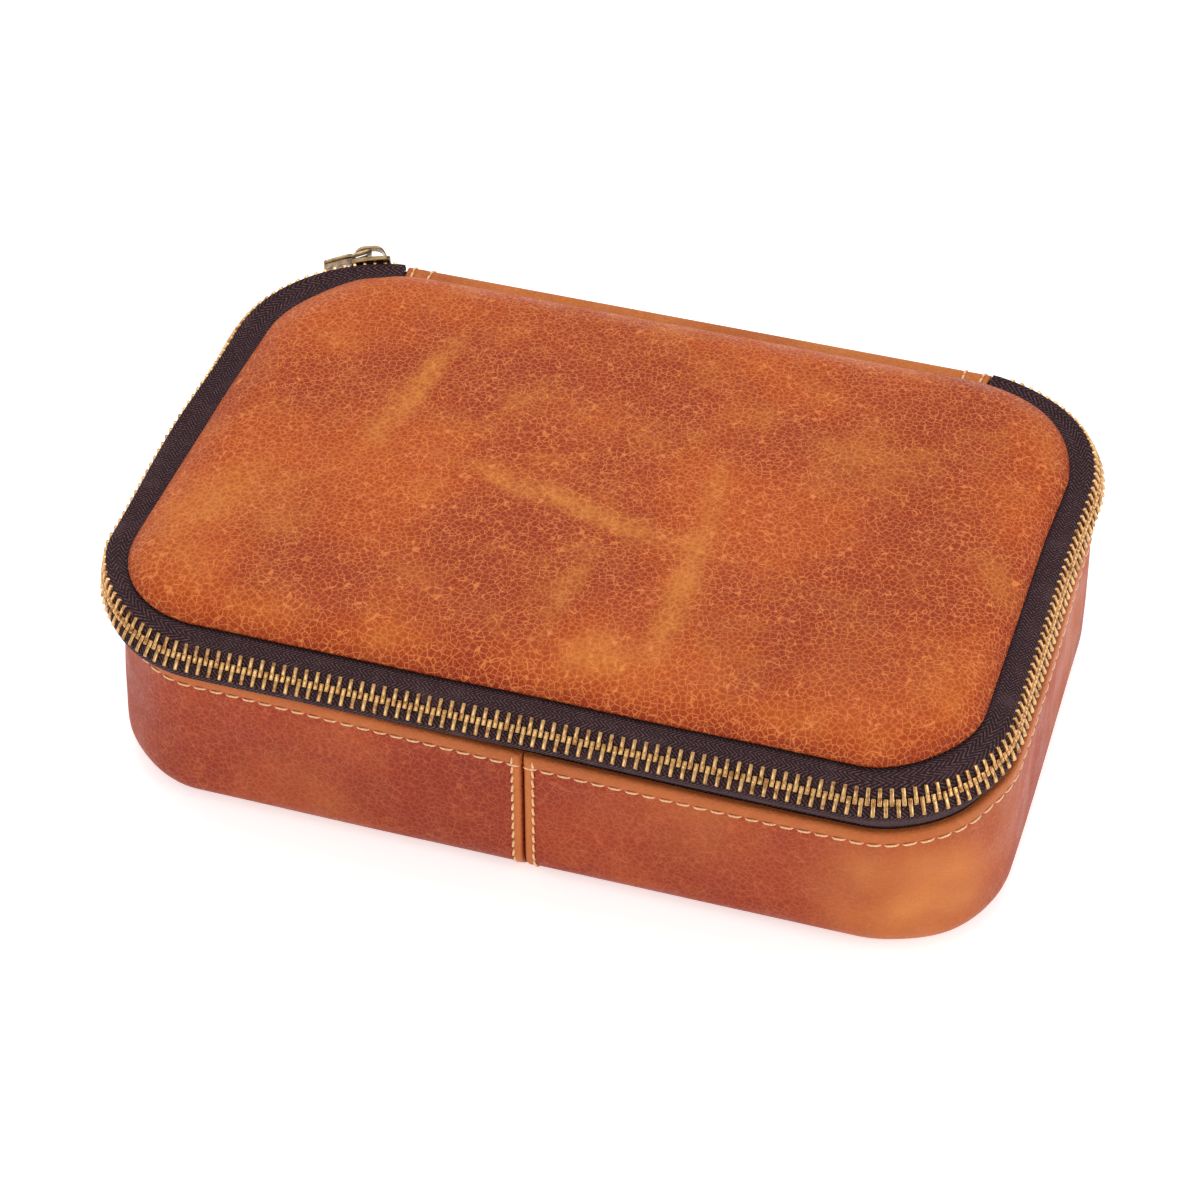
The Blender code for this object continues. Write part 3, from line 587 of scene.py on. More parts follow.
def stitch_shape(length):
    """One stitch lying along X: a short cord whose ends dive into the leather."""
    radius = 0.27 * MM

    def make(form):
        rows = []
        for step in range(-4, 5):
            share = step / 4.0
            lift = radius * (0.75 - 1.5 * share ** 4)
            girth = radius * max(0.35, 1.0 - 0.55 * share ** 6)
            row = []
            for turn in range(8):
                angle = math.tau * turn / 8
                row.append(form.verts.new((0.5 * length * share, 1.1 * girth * math.cos(angle),
                                           lift + 0.85 * girth * math.sin(angle))))
            rows.append(row)
        for here, there in zip(rows, rows[1:]):
            for i in range(8):
                form.faces.new((here[i], here[(i + 1) % 8], there[(i + 1) % 8], there[i]))
        form.faces.new(rows[0])
        form.faces.new(rows[-1])
    return template(make)


def stitch_run(name, point_at, out_at, span, pitch, tilt=4.0):
    """Stitches of one length along a route given by a parameter."""
    params = np.linspace(span[0], span[1], 1500)
    travelled = running([point_at(p) for p in params])
    count = max(1, round(travelled[-1] / pitch))
    nudge = (span[1] - span[0]) / 3000.0
    frames = []
    for i in range(count):
        p = float(np.interp((i + 0.5) * travelled[-1] / count, travelled, params))
        along = (point_at(p + nudge) - point_at(p - nudge)).normalized()
        out = out_at(p)
        out = (out - along * out.dot(along)).normalized()
        turned = Matrix.Rotation(math.radians(tilt), 4, "Z")
        frames.append(frame_of(along, out.cross(along), out, point_at(p)) @ turned)
    return repeated(name, stitch_shape(0.84 * pitch), frames, stitch_material, 80.0)


# ---- Walls and base ----

FOLD_DROPS = [0.0, 0.12, 0.35, 0.75, 1.5, 2.3, 2.9, 3.2, 3.6, 4.0, 4.8, 6.0, 7.5]
FOLD_OUT = [-0.60, -0.25, 0.02, 0.20, 0.27, 0.26, 0.22, 0.10, -0.12, -0.03, 0.0, 0.0, 0.0]
SEAM_FAR = [0.15, 0.30, 0.50, 0.80, 1.20, 1.80, 2.10, 2.40, 2.75, 3.30]
SEAM_OUT = [-0.90, -0.30, 0.0, 0.25, 0.36, 0.34, 0.16, -0.12, -0.03, 0.0]
WALL_STEPS = 16
ROUND_STEPS = 9


def wall_section(place, seam_distance, seed):
    """A closed section of the wall leather, with its folded top edge and the raised strip beside its seam."""
    rim = body_rim_height(place)
    seam = float(np.interp(seam_distance / MM, SEAM_FAR, SEAM_OUT)) * MM
    section = []
    for drop, out in zip(FOLD_DROPS, FOLD_OUT):
        section.append(wall_point(place, rim - drop * MM, max(out * MM + seam, -1.15 * MM)))
    low = rim - FOLD_DROPS[-1] * MM
    for step in range(1, WALL_STEPS + 1):
        height = low + (BOTTOM_ROUND - low) * step / WALL_STEPS
        ease = math.sin(math.pi * step / WALL_STEPS) ** 0.5 * min(1.0, seam_distance / (12.0 * MM))
        probe = wall_point(place, height, 0.0)
        uneven = 0.30 * MM * wave(probe, 0.034, seed) + 0.10 * MM * wave(probe, 0.012, seed + 3.0)
        section.append(wall_point(place, height, ease * uneven + seam))
    for step in range(1, ROUND_STEPS + 1):
        turn = 0.5 * math.pi * step / ROUND_STEPS
        reach = BOTTOM_ROUND + seam * math.cos(turn)
        section.append(wall_point(place, BOTTOM_ROUND - BOTTOM_ROUND * math.sin(turn),
                                  -BOTTOM_ROUND + reach * math.cos(turn)))
    for inset in (10.0, 13.0, 16.6):
        section.append(wall_point(place, 0.0, -inset * MM))
    section.append(wall_point(place, 0.4 * MM, -TURNED_EDGE))
    section.append(wall_point(place, LEATHER, -TURNED_EDGE))
    inner = BOTTOM_ROUND - LEATHER
    for degrees in (90, 60, 30, 0):
        turn = math.radians(degrees)
        section.append(wall_point(place, BOTTOM_ROUND - inner * math.sin(turn),
                                  -BOTTOM_ROUND + inner * math.cos(turn)))
    for height in (0.45 * rim, 0.72 * rim, rim - 0.6 * MM, rim - 0.12 * MM):
        section.append(wall_point(place, height, -LEATHER))
    return section


def wall_half(name, first, last, seams, seed):
    """Half of the wall leather, from one seam to the other."""
    reach = BODY[0] - BODY[2]
    near = {place for place in spread(first, last)
            if min(abs(place - seam) for seam in seams) * 2 * reach > 4.2 * MM}
    for seam, sign in zip(seams, (1.0, -1.0)):
        near.update(seam + sign * 0.5 * far * MM / reach for far in SEAM_FAR)
    sections = []
    for place in sorted(place for place in near if first - 1e-6 <= place <= last + 1e-6):
        away = min(abs(place - seam) for seam in seams) * 2.0 * reach
        sections.append(wall_section(place, away, seed))
    return skin(name, sections, wall_leather_finish, sharp=60.0)


RIM_PLACES = ring(24, 48)
RIM_SPOTS = np.array([wall_point(place, 0.03, 0.0).xy for place in RIM_PLACES])
RIM_HEIGHTS = np.array([body_rim_height(place) for place in RIM_PLACES])


def rim_height_at(point):
    """Height of the wall's top edge above a point."""
    gaps = np.hypot(RIM_SPOTS[:, 0] - point.x, RIM_SPOTS[:, 1] - point.y)
    return float(RIM_HEIGHTS[int(np.argmin(gaps))])


# Paler spots on the walls: centre, size, strength. The first, on the right front corner, is a painted pool of
# light; the others are spots of wear.
WALL_SCUFFS_AND_LIT_CORNER = [((0.092, -0.066, 0.018), 0.018, 1.15), ((0.100, -0.050, 0.034), 0.013, 0.5),
               ((0.040, -0.071, 0.030), 0.012, 0.35), ((-0.104, -0.030, 0.020), 0.016, 0.4),
               ((-0.050, -0.071, 0.010), 0.013, 0.25), ((0.106, 0.020, 0.022), 0.018, 0.4)]


def wall_fold_wear_and_light(point):
    """How much a wall point belongs to the paler folded edge, to a seam's strips and to the paler spots,
    which are wear and a painted pool of light on the right front corner.
    """
    across = abs(point.x - FRONT_SEAM_X) if point.y < 0.0 else abs(point.x)
    strip = float(np.interp(across / MM, (0.3, 0.7, 2.1, 2.5), (0.0, 0.7, 0.7, 0.0)))
    if abs(point.y) < 0.06:
        strip = 0.0
    drop = (rim_height_at(point) - point.z) / MM
    band = float(np.interp(drop, (2.8, 3.5), (0.50, 0.0)))
    # Spots of wear, and a painted pool of light on the right front corner.
    spot_marks = 0.0
    for centre, size, strength in WALL_SCUFFS_AND_LIT_CORNER:
        away = (point - Vector(centre)).length / size
        spot_marks = max(spot_marks, strength * math.exp(-away * away) * (0.8 + 0.5 * wave(point, 0.010, 6.0)))
    return min(1.0, max(band, strip, spot_marks) * (0.88 + 0.12 * wave(point, 0.006, 4.0)))


def wall_shade(point):
    """How much a wall point is darkened: towards its foot and in cloudy patches."""
    foot = float(np.interp(point.z / MM, (0.5, 7.0), (0.5, 0.0)))
    return min(1.0, foot + 0.9 * max(0.0, wave(point, 0.030, 9.0)))


def make_walls():
    """The two wall halves with their stitching."""
    front = front_place(FRONT_SEAM_X)
    step = 0.5 * 0.15 * MM / (BODY[0] - BODY[2])
    left = wall_half("left_wall", -0.5 + step, front - step, (-0.5, front), 2.0)
    right = wall_half("right_wall", front + step, 7.5 - step, (front, 7.5), 5.0)
    for piece, node in ((left, "wall_leather_left"), (right, "wall_leather_right")):
        paint(piece, "fold_wear_and_light", wall_fold_wear_and_light)
        paint(piece, "edge", wall_shade)
        put(piece, "case", "pebbled_leather", node)

    def rim_route(place):
        return wall_point(place, body_rim_height(place) - RIM_STITCH_DROP, 0.02 * MM)

    def rim_out(place):
        return wall_point(place, 0.04, MM) - wall_point(place, 0.04, 0.0)

    rim = stitch_run("rim_stitches", rim_route, rim_out, (0.0, 8.0), RIM_STITCH)
    put(rim, "case", "thread", "rim_thread")
    offset = 0.5 * SEAM_STITCH_OFFSET / (BODY[0] - BODY[2])
    for end, centre, sign in (("front", front, 1.0), ("rear", 7.5, -1.0)):
        for side, name in ((-1.0, "left"), (1.0, "right")):
            place = centre + sign * side * offset
            run = body_rim_height(place) - BOTTOM_ROUND

            def route(down, place=place, run=run):
                if down <= run:
                    return wall_point(place, run + BOTTOM_ROUND - down, 0.03 * MM)
                turn = (down - run) / BOTTOM_ROUND
                height = BOTTOM_ROUND * (1.0 - math.sin(turn))
                return wall_point(place, height, BOTTOM_ROUND * (math.cos(turn) - 1.0))

            def out(down, place=place, run=run):
                turn = max(0.0, down - run) / BOTTOM_ROUND
                level = wall_point(place, 0.02, MM) - wall_point(place, 0.02, 0.0)
                return level * math.cos(turn) - Vector((0.0, 0.0, MM)) * math.sin(turn)

            span = (0.9 * MM, run + BOTTOM_ROUND)
            label = "%s_seam_stitches_%s" % (end, name)
            piece = stitch_run(label, route, out, span, SHORT_STITCH, 8.0 * side)
            put(piece, "case", "thread", "%s_seam_thread_%s" % (end, name))


# ---- Zip ----

def upper_tape_section(place):
    """The lid-side tape: from under the lid's edge out to a corded edge between the teeth."""
    height = LID_EDGE_HEIGHT - 0.3 * MM
    lines = []
    for face, level in ((0.5 * TAPE, height), (-0.5 * TAPE, height - TAPE)):
        line = [(-13.5 * MM, level), (-9.0 * MM, level), (-5.0 * MM, level)]
        line += [zip_offset(place, 3.3 * MM, face), zip_offset(place, 2.0 * MM, face)]
        lines.append([rim_point(CHAIN, place, out, at) for out, at in smooth_line(line, 3)])
    cord = [(1.35, 0.5), (0.95, 0.36), (0.8, 0.0), (0.95, -0.36), (1.35, -0.5)]
    edge = [zip_point(place, across * MM, out * MM) for across, out in cord]
    return lines[0] + edge + lines[1][::-1]


def lower_tape_section(place):
    """The case-side tape: from a corded edge between the teeth down behind the wall's top edge."""
    rim = body_rim_height(place)
    lines = []
    for face, back in ((0.5 * TAPE, 0.0), (-0.5 * TAPE, TAPE)):
        edge = zip_offset(place, -3.3 * MM, face)
        line = [zip_offset(place, -2.1 * MM, face), edge, (edge[0] - 0.15 * MM, edge[1] - 1.0 * MM),
                (edge[0] - 0.95 * MM, edge[1] - 2.1 * MM)]
        points = [rim_point(CHAIN, place, out, height) for out, height in line]
        for out, height in ((0.9 * MM - 0.5 * back, rim + 1.2 * MM + 0.8 * back),
                            (-back, rim + 0.1 * MM + 0.5 * back), (-back, rim - 8.0 * MM)):
            point = wall_point(place, min(height, rim), out - LEATHER - 0.3 * MM)
            points.append(Vector((point.x, point.y, height)))
        lines.append(smooth_line(points, 3))
    cord = [(-1.35, -0.5), (-0.95, -0.36), (-0.8, 0.0), (-0.95, 0.36), (-1.35, 0.5)]
    edge = [zip_point(place, across * MM, out * MM) for across, out in cord]
    return edge + lines[0] + lines[1][::-1]


def tooth_shape():
    """One tooth: legs clamped round the tape's cord and a head that reaches past the middle, with a nub."""
    def make(form):
        rounded_box(form, (-0.47, 0.7, -1.05), (0.47, 3.2, 1.05), 0.24)
        rounded_box(form, (-0.54, -0.85, -0.92), (0.54, 1.05, 0.92), 0.24)
        rounded_box(form, (-0.34, -0.55, 0.8), (0.34, 0.45, 1.12), 0.12, 1)
    return template(make)


def zip_frame(place, side=1.0):
    """A frame on the zip: along it, across it (towards the lid for side 1) and out from it."""
    base = zip_point(place, 0.0, 0.0)
    across = (zip_point(place, MM, 0.0) - base).normalized() * side
    out = (zip_point(place, 0.0, MM) - base).normalized()
    return frame_of(across.cross(out), across, out, base)


def teeth_frames(side, span, shift):
    """A frame for each tooth of one row whose place is inside a span. Side is 1 for the lid's row."""
    places = np.linspace(TEETH_SPAN[0], TEETH_SPAN[1], 4000)
    travelled = running([zip_point(float(place), 0.0, 0.0) for place in places])
    count = int(travelled[-1] / TOOTH_PITCH)
    found = []
    for i in range(count):
        place = float(np.interp((i + shift) * TOOTH_PITCH, travelled, places))
        if span[0] <= place < span[1]:
            found.append(zip_frame(place, side))
    return found


def make_zip():
    """Tapes, teeth and end stops."""
    left_end = (ZIP_SPAN[0], LID_SPAN[0] - 0.003)
    right_end = (LID_SPAN[1] + 0.003, ZIP_SPAN[1])
    lower = skin("case_tape", [lower_tape_section(place) for place in spread(*ZIP_SPAN)], tape_material)
    put(lower, "case", "zip_tape", "lower_zip_tape")
    upper = skin("lid_tape", [upper_tape_section(place) for place in spread(*LID_SPAN)], tape_material)
    put(upper, "lid", "zip_tape", "upper_zip_tape")
    tooth = tooth_shape()
    row = repeated("case_teeth", tooth, teeth_frames(-1.0, (0.0, 8.0), 0.0), brass_material)
    put(row, "case", "brass", "lower_teeth_row")
    row = repeated("lid_teeth", tooth, teeth_frames(1.0, LID_SPAN, 0.5), brass_material)
    put(row, "lid", "brass", "upper_teeth_row")
    for name, span in (("left", left_end), ("right", right_end)):
        tape = skin("tape_end_" + name, [upper_tape_section(place) for place in spread(*span)], tape_material)
        teeth = repeated("teeth_end_" + name, tooth, teeth_frames(1.0, span, 0.5), brass_material)
        bend(tape, ZIP_BEND, "upper_tape_end_" + name)
        bend(teeth, ZIP_BEND, "upper_teeth_end_" + name)

    def stop(form):
        rounded_box(form, (-0.7, -2.8, 1.05), (0.7, -0.7, 1.75), 0.22)
        rounded_box(form, (-0.7, -2.8, -1.3), (0.7, -2.2, 1.6), 0.2)

    for name, place in (("left", 0.139), ("right", 6.85)):
        piece = repeated("stop_" + name, template(stop), [zip_frame(place)], brass_material)
        put(piece, "case", "brass", "zip_stop_" + name)


# ---- Lid ----

# The lid's profiles, as inset and height in mm: outside, inside and the turned edge between them.
DOME = [(0.0, 54.3), (0.5, 55.1), (1.4, 56.1), (2.9, 57.1), (5.5, 58.3), (9.5, 59.4), (15.0, 59.9)]
DOME_INNER = [(3.0, 55.2), (4.6, 56.1), (7.0, 57.2), (10.5, 58.1), (15.0, 58.8)]
DOME_EDGE = [(6.5, 54.7), (6.5, 53.5), (3.0, 53.45), (0.6, 53.55), (0.12, 53.8)]
CROWN = 0.95 * MM


def lid_ring(inset, height):
    """One ring of the padded lid, softly uneven."""
    points = []
    for place in ring(40, 44):
        probe = rim_point(LID, place, 0.0, 0.0)
        sway = 0.28 * MM * wave(probe, 0.030, 7.0) * max(0.0, 1.0 - inset / (6.0 * MM))
        point = rim_point(LID, place, sway - inset, height)
        depth = min(1.0, inset / (4.0 * MM))
        pucker = 0.14 * MM * wave(probe, 0.0055, 3.0) * math.sin(math.pi * min(1.0, inset / (7.0 * MM)))
        swell = 0.16 * MM * wave(point, 0.030, 1.0) + 0.07 * MM * wave(point, 0.012, 2.0)
        point.z += depth * swell + pucker
        points.append(point)
    return points


def make_lid():
    """The padded leather top with its turned edge, and what lies under it."""
    profile = DOME_INNER[::-1] + DOME_EDGE + smooth_line(DOME, 5)
    rings = [lid_ring(inset * MM, height * MM) for inset, height in profile]
    last = [rim_point(LID, place, -15.0 * MM, 0.0) for place in ring(40, 44)]
    for step in range(1, 28):
        share = 1.0 - step / 28.0
        crown = 59.9 * MM + CROWN * (1.0 - share * share) ** 1.1
        found = []
        for point in last:
            here = Vector((point.x * share, point.y * share, crown))
            here.z += 0.16 * MM * wave(here, 0.030, 1.0) + 0.07 * MM * wave(here, 0.012, 2.0)
            found.append(here)
        rings.append(found)
    top = skin("lid_top", rings, lid_leather_finish, sharp=60.0)

    # Painted shade on the lid's steep flank: darker low on the dome, most towards the right and front.
    def edge(point):
        shade = 1.0 - float(np.interp(point.z / MM, (55.2, 58.4), (0.0, 1.0)))
        towards = 0.5 + 0.5 * max(0.0, min(1.0, (point.x - 1.3 * point.y + 0.05) / 0.12))
        return shade * towards * (0.8 + 0.3 * wave(point, 0.008, 6.0))

    paint(top, "edge", edge)
    put(top, "lid", "pebbled_leather", "lid_leather")

    plan = [(15.0, 52.2), (2.2, 52.2), (1.3, 52.12), (1.1, 51.9), (1.3, 51.68), (2.2, 51.6)]
    rings = [[rim_point(LID, place, -inset * MM, height * MM) for place in ring(24, 24)]
             for inset, height in plan]
    inner = rings[-1]
    for step in range(1, 16):
        share = 1.0 - step / 16.0
        found = []
        for point in inner:
            here = Vector((point.x * share, point.y * share, 51.6 * MM))
            here.z += 0.12 * MM * wave(here, 0.035, 8.0) * min(1.0, 3.0 * (1.0 - share))
            found.append(here)
        rings.append(found)
    put(skin("lid_cloth", rings, lining_material), "lid", "cloth_lining", "lid_lining")


# ---- Hinge ----

# Profiles in mm, out from the chain's outline and up.
HINGE_LINE = [(-13.5, 52.4), (-3.2, 52.4), (-1.2, 51.6), (0.1, 49.8), (0.3, 47.2), (-1.0, 45.3), (-5.9, 43.9),
              (-6.7, 42.3), (-6.7, 34.5)]
HINGE_CLOTH = [(-7.9, 51.5), (-3.4, 51.3), (-1.6, 50.0), (-1.8, 47.6), (-3.0, 46.0), (-7.2, 44.9)]
HINGE_THREAD = [(-6.2, 53.25), (-3.0, 53.2), (-0.6, 52.25), (0.95, 50.1), (1.1, 46.9), (-0.2, 44.9)]
HINGE_END = 0.095
# How far the cloth runs past each end of the leather strip, towards the tape.
CLOTH_REACH = 0.05
HINGE_COLUMNS = (72.8 * MM, 68.0 * MM)


def hinge_place(x):
    """The place on the rear of the outline at a given X."""
    reach = CHAIN[0] - CHAIN[3]
    if abs(x) <= reach:
        return 7.5 - 0.5 * x / reach
    turn = math.asin((abs(x) - reach) / CHAIN[3]) / math.radians(90.0)
    return 8.0 + turn if x < 0 else 7.0 - turn


def hinge_strip(name, line, thickness, material, dimpled, reach=0.0):
    """A strip along the rear with a smooth profile, thinner at its two ends."""
    smooth = [Vector(point) for point in smooth_line(line, 5)]
    normals = []
    for i in range(len(smooth)):
        run = (smooth[min(i + 1, len(smooth) - 1)] - smooth[max(i - 1, 0)]).normalized()
        normals.append(Vector((-run.y, run.x)))
    first, last = 7.0 - HINGE_END - reach, 8.0 + HINGE_END + reach
    run = spread(first, last, 60, 60)
    run = [first, first + 0.003, first + 0.009] + run[1:-1] + [last - 0.009, last - 0.003, last]
    sections = []
    for place in sorted(set(run)):
        x = rim_point(CHAIN, place, 0.0, 0.0).x
        ends = min(place - first, last - place)
        thin = float(np.interp(ends, (0.0, 0.003, 0.009), (0.45, 0.85, 1.0)))
        pull = 0.0
        if dimpled:
            near = min(abs(abs(x) - column) for column in HINGE_COLUMNS)
            pull = -0.14 * math.exp(-(near / (0.9 * MM)) ** 2)
        outer = [point + normal * (thickness * thin + pull) for point, normal in zip(smooth, normals)]
        profile = smooth + outer[::-1]
        sections.append([rim_point(CHAIN, place, point.x * MM, point.y * MM) for point in profile])
    return skin(name, sections, material)


def make_hinge():
    """The leather hinge strip, its cloth lining and the stitching at its ends."""
    strip = hinge_strip("hinge_strip", HINGE_LINE, 0.8, strip_leather_finish, True)
    bend(strip, HINGE_BEND, "hinge_leather")
    cloth = hinge_strip("hinge_cloth", HINGE_CLOTH, 0.4, lining_material, False, CLOTH_REACH)
    bend(cloth, HINGE_BEND, "hinge_lining")
    route = [Vector(point) for point in smooth_line(HINGE_THREAD, 6)]
    travelled = running([(*point, 0.0) for point in route])
    for side, name in ((-1.0, "left"), (1.0, "right")):
        for row, x in enumerate(HINGE_COLUMNS, 1):
            place = hinge_place(side * x)

            def point_at(t, place=place):
                out = float(np.interp(t, travelled, [point.x for point in route]))
                height = float(np.interp(t, travelled, [point.y for point in route]))
                return rim_point(CHAIN, place, out * MM, height * MM)

            def out_at(t, point_at=point_at):
                along = point_at(t + 0.4) - point_at(t - 0.4)
                side_way = Vector((1.0, 0.0, 0.0))
                out = along.cross(side_way)
                return out if out.y + out.z > 0 else -out

            span = (0.0, float(travelled[-1]))
            label = "hinge_stitches_%s_%d" % (name, row)
            piece = stitch_run(label, point_at, out_at, span, SHORT_STITCH, 0.0)
            bend(piece, HINGE_BEND, "hinge_thread_%s_%d" % (name, row))


# ---- Slider and pull ----

def slider_point(turn, across, out):
    """A point near the zip at an angle round the rear left corner."""
    return zip_point(math.degrees(turn) / 90.0 - 1.0, across, out)


def rounded_edges(piece, width):
    """Round a piece's sharp edges."""
    bevel = piece.modifiers.new("round", "BEVEL")
    bevel.width = width
    bevel.segments = 3
    bevel.limit_method = "ANGLE"
    bevel.angle_limit = math.radians(40.0)
    return piece


def make_slider():
    """The slider body, waisted towards its tail, and the arched bridge."""
    half = 0.5 * SLIDER_LENGTH / CHAIN[3]
    inner, outer, edge, post, narrow = 1.45 * MM, 2.5 * MM, 1.05 * MM, 0.32 * MM, 2.6 * MM
    sections = []
    for step in range(-10, 11):
        part = step / 10.0
        wide = (3.9 - 0.45 * math.sin(1.4 * part) - 0.5 * part ** 6) * MM
        lip = wide - 0.8 * MM
        crown = outer + 0.15 * MM * (1.0 - part * part)
        right = [(0.6 * wide, crown), (wide, outer - 0.3 * MM), (wide, edge), (lip, edge), (lip, inner),
                 (post, inner), (post, -inner), (narrow, -inner), (narrow, -outer)]
        left = [(-across, out) for across, out in right[::-1]]
        profile = left[-2:] + right + left[:-2]
        turn = SLIDER_ANGLE + half * part
        sections.append([slider_point(turn, across, out) for across, out in profile])
    body = rounded_edges(skin("slider_casting", sections, antique_material, sharp=30.0), 0.22 * MM)
    put(body, "slider", "antique_brass", "slider_body")
    strap = 1.15 * MM
    arch = []
    for step in range(-14, 15):
        part = step / 14.0
        low = outer + 0.2 * MM + 2.9 * MM * (1.0 - part ** 4)
        thick = 0.95 * MM
        wide = strap * (1.0 + 0.35 * part ** 4)
        turn = SLIDER_ANGLE + 0.79 * half * part
        corners = [(-wide, low), (wide, low), (wide, low + 0.7 * thick), (0.55 * wide, low + thick),
                   (-0.55 * wide, low + thick), (-wide, low + 0.7 * thick)]
        arch.append([slider_point(turn, across, out) for across, out in corners])
    bridge = rounded_edges(skin("slider_arch", arch, antique_material, sharp=30.0), 0.16 * MM)
    put(bridge, "slider", "antique_brass", "slider_bridge")


def rounded_outline(points, radius, steps=5):
    """A polygon with rounded corners."""
    found = []
    count = len(points)
    for i in range(count):
        before, here, after = (Vector(points[j % count]) for j in (i - 1, i, i + 1))
        start = here + (before - here).normalized() * radius
        end = here + (after - here).normalized() * radius
        for step in range(steps + 1):
            t = step / steps
            found.append(start * (1 - t) ** 2 + here * 2 * t * (1 - t) + end * t * t)
    return found


def make_pull():
    """The pull: a cross bar under the bridge, two arms and a tab with a sunk oblong."""
    along = Vector((-math.sin(SLIDER_ANGLE), math.cos(SLIDER_ANGLE), 0.0))
    base = slider_point(SLIDER_ANGLE, 0.0, 0.0)
    across = (slider_point(SLIDER_ANGLE, MM, 0.0) - base).normalized()
    out = (slider_point(SLIDER_ANGLE, 0.0, MM) - base).normalized()
    place = frame_of(along, across, out, slider_point(SLIDER_ANGLE, 0.0, PULL_LIFT))
    place = place @ Matrix.Rotation(PULL_SLOPE, 4, "Y")
    edge = 0.16 * MM
    curve = bpy.data.curves.new("pull_plate", "CURVE")
    curve.dimensions = "2D"
    curve.fill_mode = "BOTH"
    curve.extrude = 0.45 * MM - edge
    curve.bevel_depth = edge
    curve.bevel_resolution = 2
    outer = [(-0.30, -2.15), (4.6, -2.15), (6.0, -2.95), (11.85, -2.95), (11.85, 2.95), (6.0, 2.95),
             (4.6, 2.15), (-0.30, 2.15)]
    eye = [(0.55, -1.3), (4.4, -1.3), (4.4, 1.3), (0.55, 1.3)]
    sunk = [(6.5, -1.75), (10.5, -1.75), (10.5, 1.75), (6.5, 1.75)]
    for points, radius in ((outer, 0.65), (eye, 0.7), (sunk, 1.2)):
        outline = rounded_outline([(x * MM, y * MM) for x, y in points], radius * MM)
        spline = curve.splines.new("POLY")
        spline.points.add(len(outline) - 1)
        for knot, point in zip(spline.points, outline):
            knot.co = (point.x, point.y, 0.0, 1.0)
        spline.use_cyclic_u = True
    holder = bpy.data.objects.new("pull_plate", curve)
    bpy.context.scene.collection.objects.link(holder)
    bpy.context.view_layer.update()
    flat = bpy.data.meshes.new_from_object(holder.evaluated_get(bpy.context.evaluated_depsgraph_get()))
    bpy.data.objects.remove(holder)
    form = bmesh.new()
    form.from_mesh(flat)
    bmesh.ops.remove_doubles(form, verts=form.verts, dist=0.002 * MM)
    bpy.data.meshes.remove(flat)
    rounded_box(form, (6.0, -2.3, -0.42), (11.0, 2.3, 0.05), 0.1, 1)
    form.transform(place)
    put(finish_mesh("pull", form, antique_material, 35.0), "pull", "antique_brass", "pull_tab")


# ---- Inside ----

def make_linings():
    """The cloth box inside the case."""
    rings = []
    for depth, outward in ((3.1, True), (3.7, False)):
        floor = 5.3 + depth - 3.1
        line = [(depth + 3.5, floor), (depth + 1.9, floor + 0.35), (depth + 1.0, floor + 1.2),
                (depth + 0.3, floor + 2.4), (depth, floor + 4.0), (depth, 16.0), (depth, 24.0), (depth, 33.0)]
        found = []
        if not outward:
            inner = ring_of_wall(depth + 3.5, floor)
            for share in (0.02, 0.2, 0.4, 0.6, 0.8, 0.95):
                row = []
                for point in inner:
                    here = Vector((point.x * share, point.y * share, point.z))
                    here.z += 0.15 * MM * (1.0 - share) * wave(here, 0.030, 5.0)
                    row.append(here)
                found.append(row)
        found += [ring_of_wall(inset, height) for inset, height in line]
        found.append([wall_point(place, body_rim_height(place) - 0.5 * MM, -depth * MM)
                      for place in ring(20, 20)])
        rings += found if outward else found[::-1]
    put(skin("case_cloth", rings, lining_material), "case", "cloth_lining", "body_lining")


def ring_of_wall(inset, height):
    """A ring inside the walls at one height, in millimetres."""
    return [wall_point(place, height * MM, -inset * MM) for place in ring(20, 20)]


def finish_nodes():
    """Materials for the CAD pieces that stay as they are."""
    for node, material, slot in (("base_leather", base_leather_finish, "pebbled_leather"),
                                 ("base_board", board_material, "stiffener_board"),
                                 ("wall_board", board_material, "stiffener_board"),
                                 ("lid_board", board_material, "stiffener_board"),
                                 ("lid_foam", foam_material, "foam")):
        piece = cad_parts[node]
        piece.data.materials.clear()
        piece.data.materials.append(material)


# ---- Stage ----

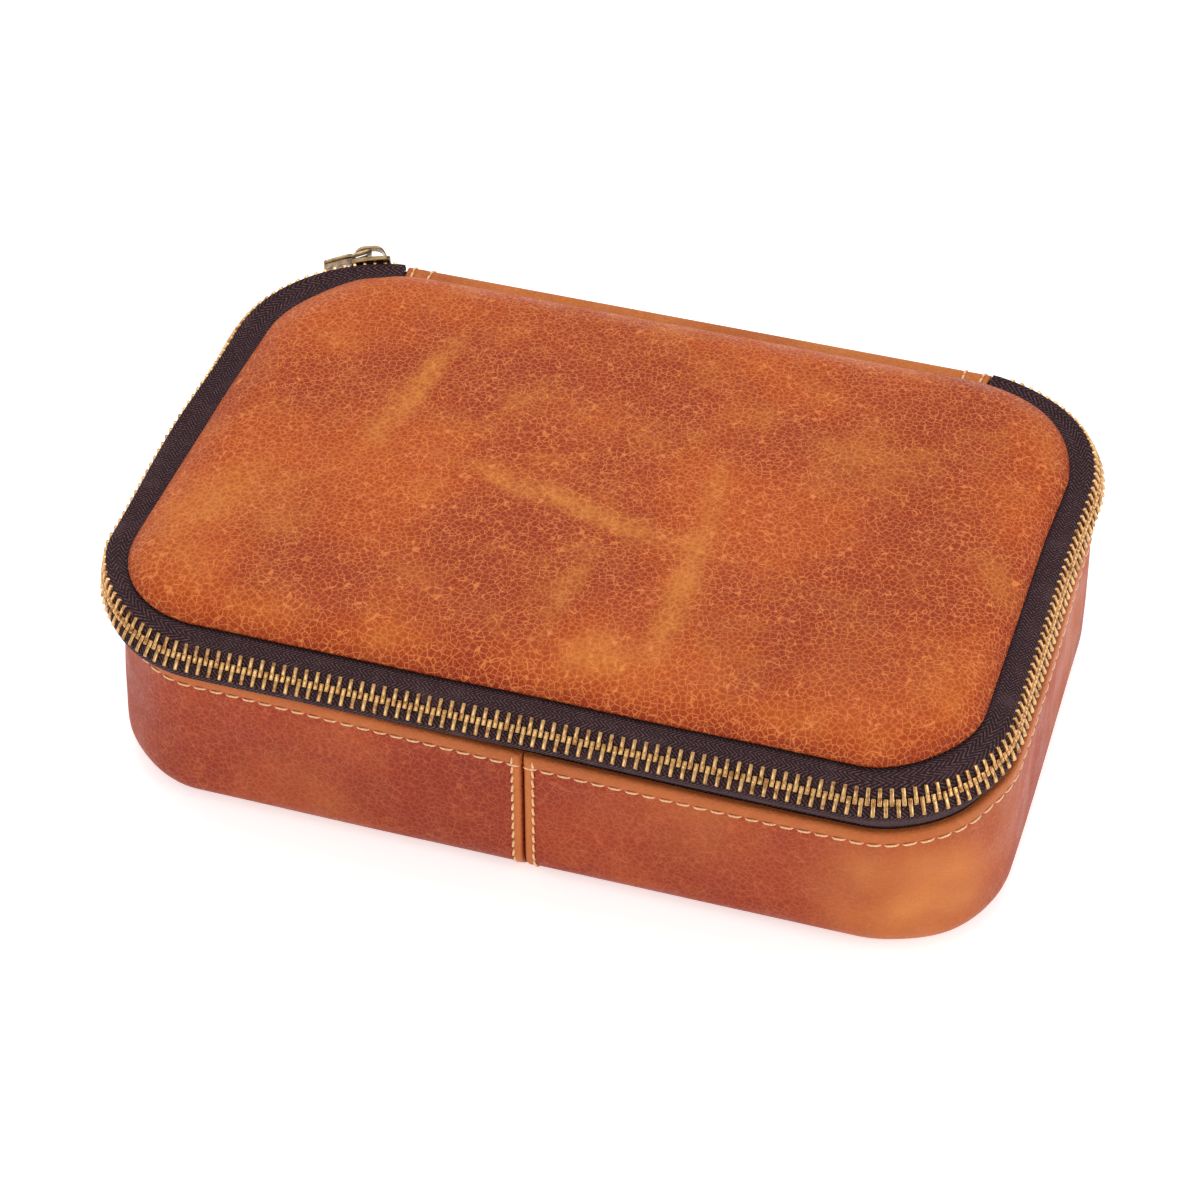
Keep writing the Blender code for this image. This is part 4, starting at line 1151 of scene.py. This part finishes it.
def area_light(name, place, size, power, color=(1.0, 1.0, 1.0)):
    """A soft square light aimed at the bag."""
    light = bpy.data.lights.new(name, "AREA")
    light.shape = "DISK"
    light.size = size
    light.energy = power
    light.color = color
    lamp = bpy.data.objects.new(name, light)
    bpy.context.scene.collection.objects.link(lamp)
    lamp.location = place
    lamp.rotation_euler = (Vector((0.0, 0.0, 0.03)) - Vector(place)).to_track_quat("-Z", "Y").to_euler()


def make_stage():
    """A pale floor, soft lights and the camera."""
    form = bmesh.new()
    corners = [(-3.0, -3.0), (3.0, -3.0), (3.0, 3.0), (-3.0, 3.0)]
    form.faces.new([form.verts.new((x, y, -0.0002)) for x, y in corners])
    paper = Finish("floor", 0.9, specular=0.1)
    paper.shader.inputs["Base Color"].default_value = (0.90, 0.90, 0.90, 1.0)
    paper.shader.inputs["Emission Color"].default_value = (1.0, 1.0, 1.0, 1.0)
    paper.shader.inputs["Emission Strength"].default_value = 0.50
    finish_mesh("floor", form, paper.material)
    world = bpy.data.worlds.new("studio")
    world.use_nodes = True
    world.node_tree.nodes["Background"].inputs["Color"].default_value = (1.0, 1.0, 1.0, 1.0)
    world.node_tree.nodes["Background"].inputs["Strength"].default_value = 0.72
    bpy.context.scene.world = world
    area_light("top", (-0.15, 0.45, 1.3), 1.1, 7.2)
    area_light("right", (1.0, -0.35, 0.6), 0.7, 2.8, (1.0, 0.98, 0.95))
    area_light("front", (-0.5, -1.2, 0.8), 0.7, 2.2)
    bpy.context.scene.view_settings.view_transform = "Standard"
    azimuth, elevation, distance = math.radians(17.0), math.radians(41.98), 0.8724
    camera = bpy.data.cameras.new("camera")
    camera.sensor_width = 36.0
    camera.lens = 111.46
    camera.clip_start = 0.05
    viewer = bpy.data.objects.new("camera", camera)
    bpy.context.scene.collection.objects.link(viewer)
    back = Vector((math.sin(azimuth) * math.cos(elevation), -math.cos(azimuth) * math.cos(elevation),
                   math.sin(elevation)))
    viewer.location = Vector((-0.0002, -0.0060, 0.0286)) + back * distance
    viewer.rotation_euler = back.to_track_quat("Z", "Y").to_euler()
    bpy.context.scene.camera = viewer


make_walls()
make_zip()
make_lid()
make_hinge()
make_slider()
make_pull()
make_linings()
finish_nodes()
make_stage()

bpy.context.view_layer.update()
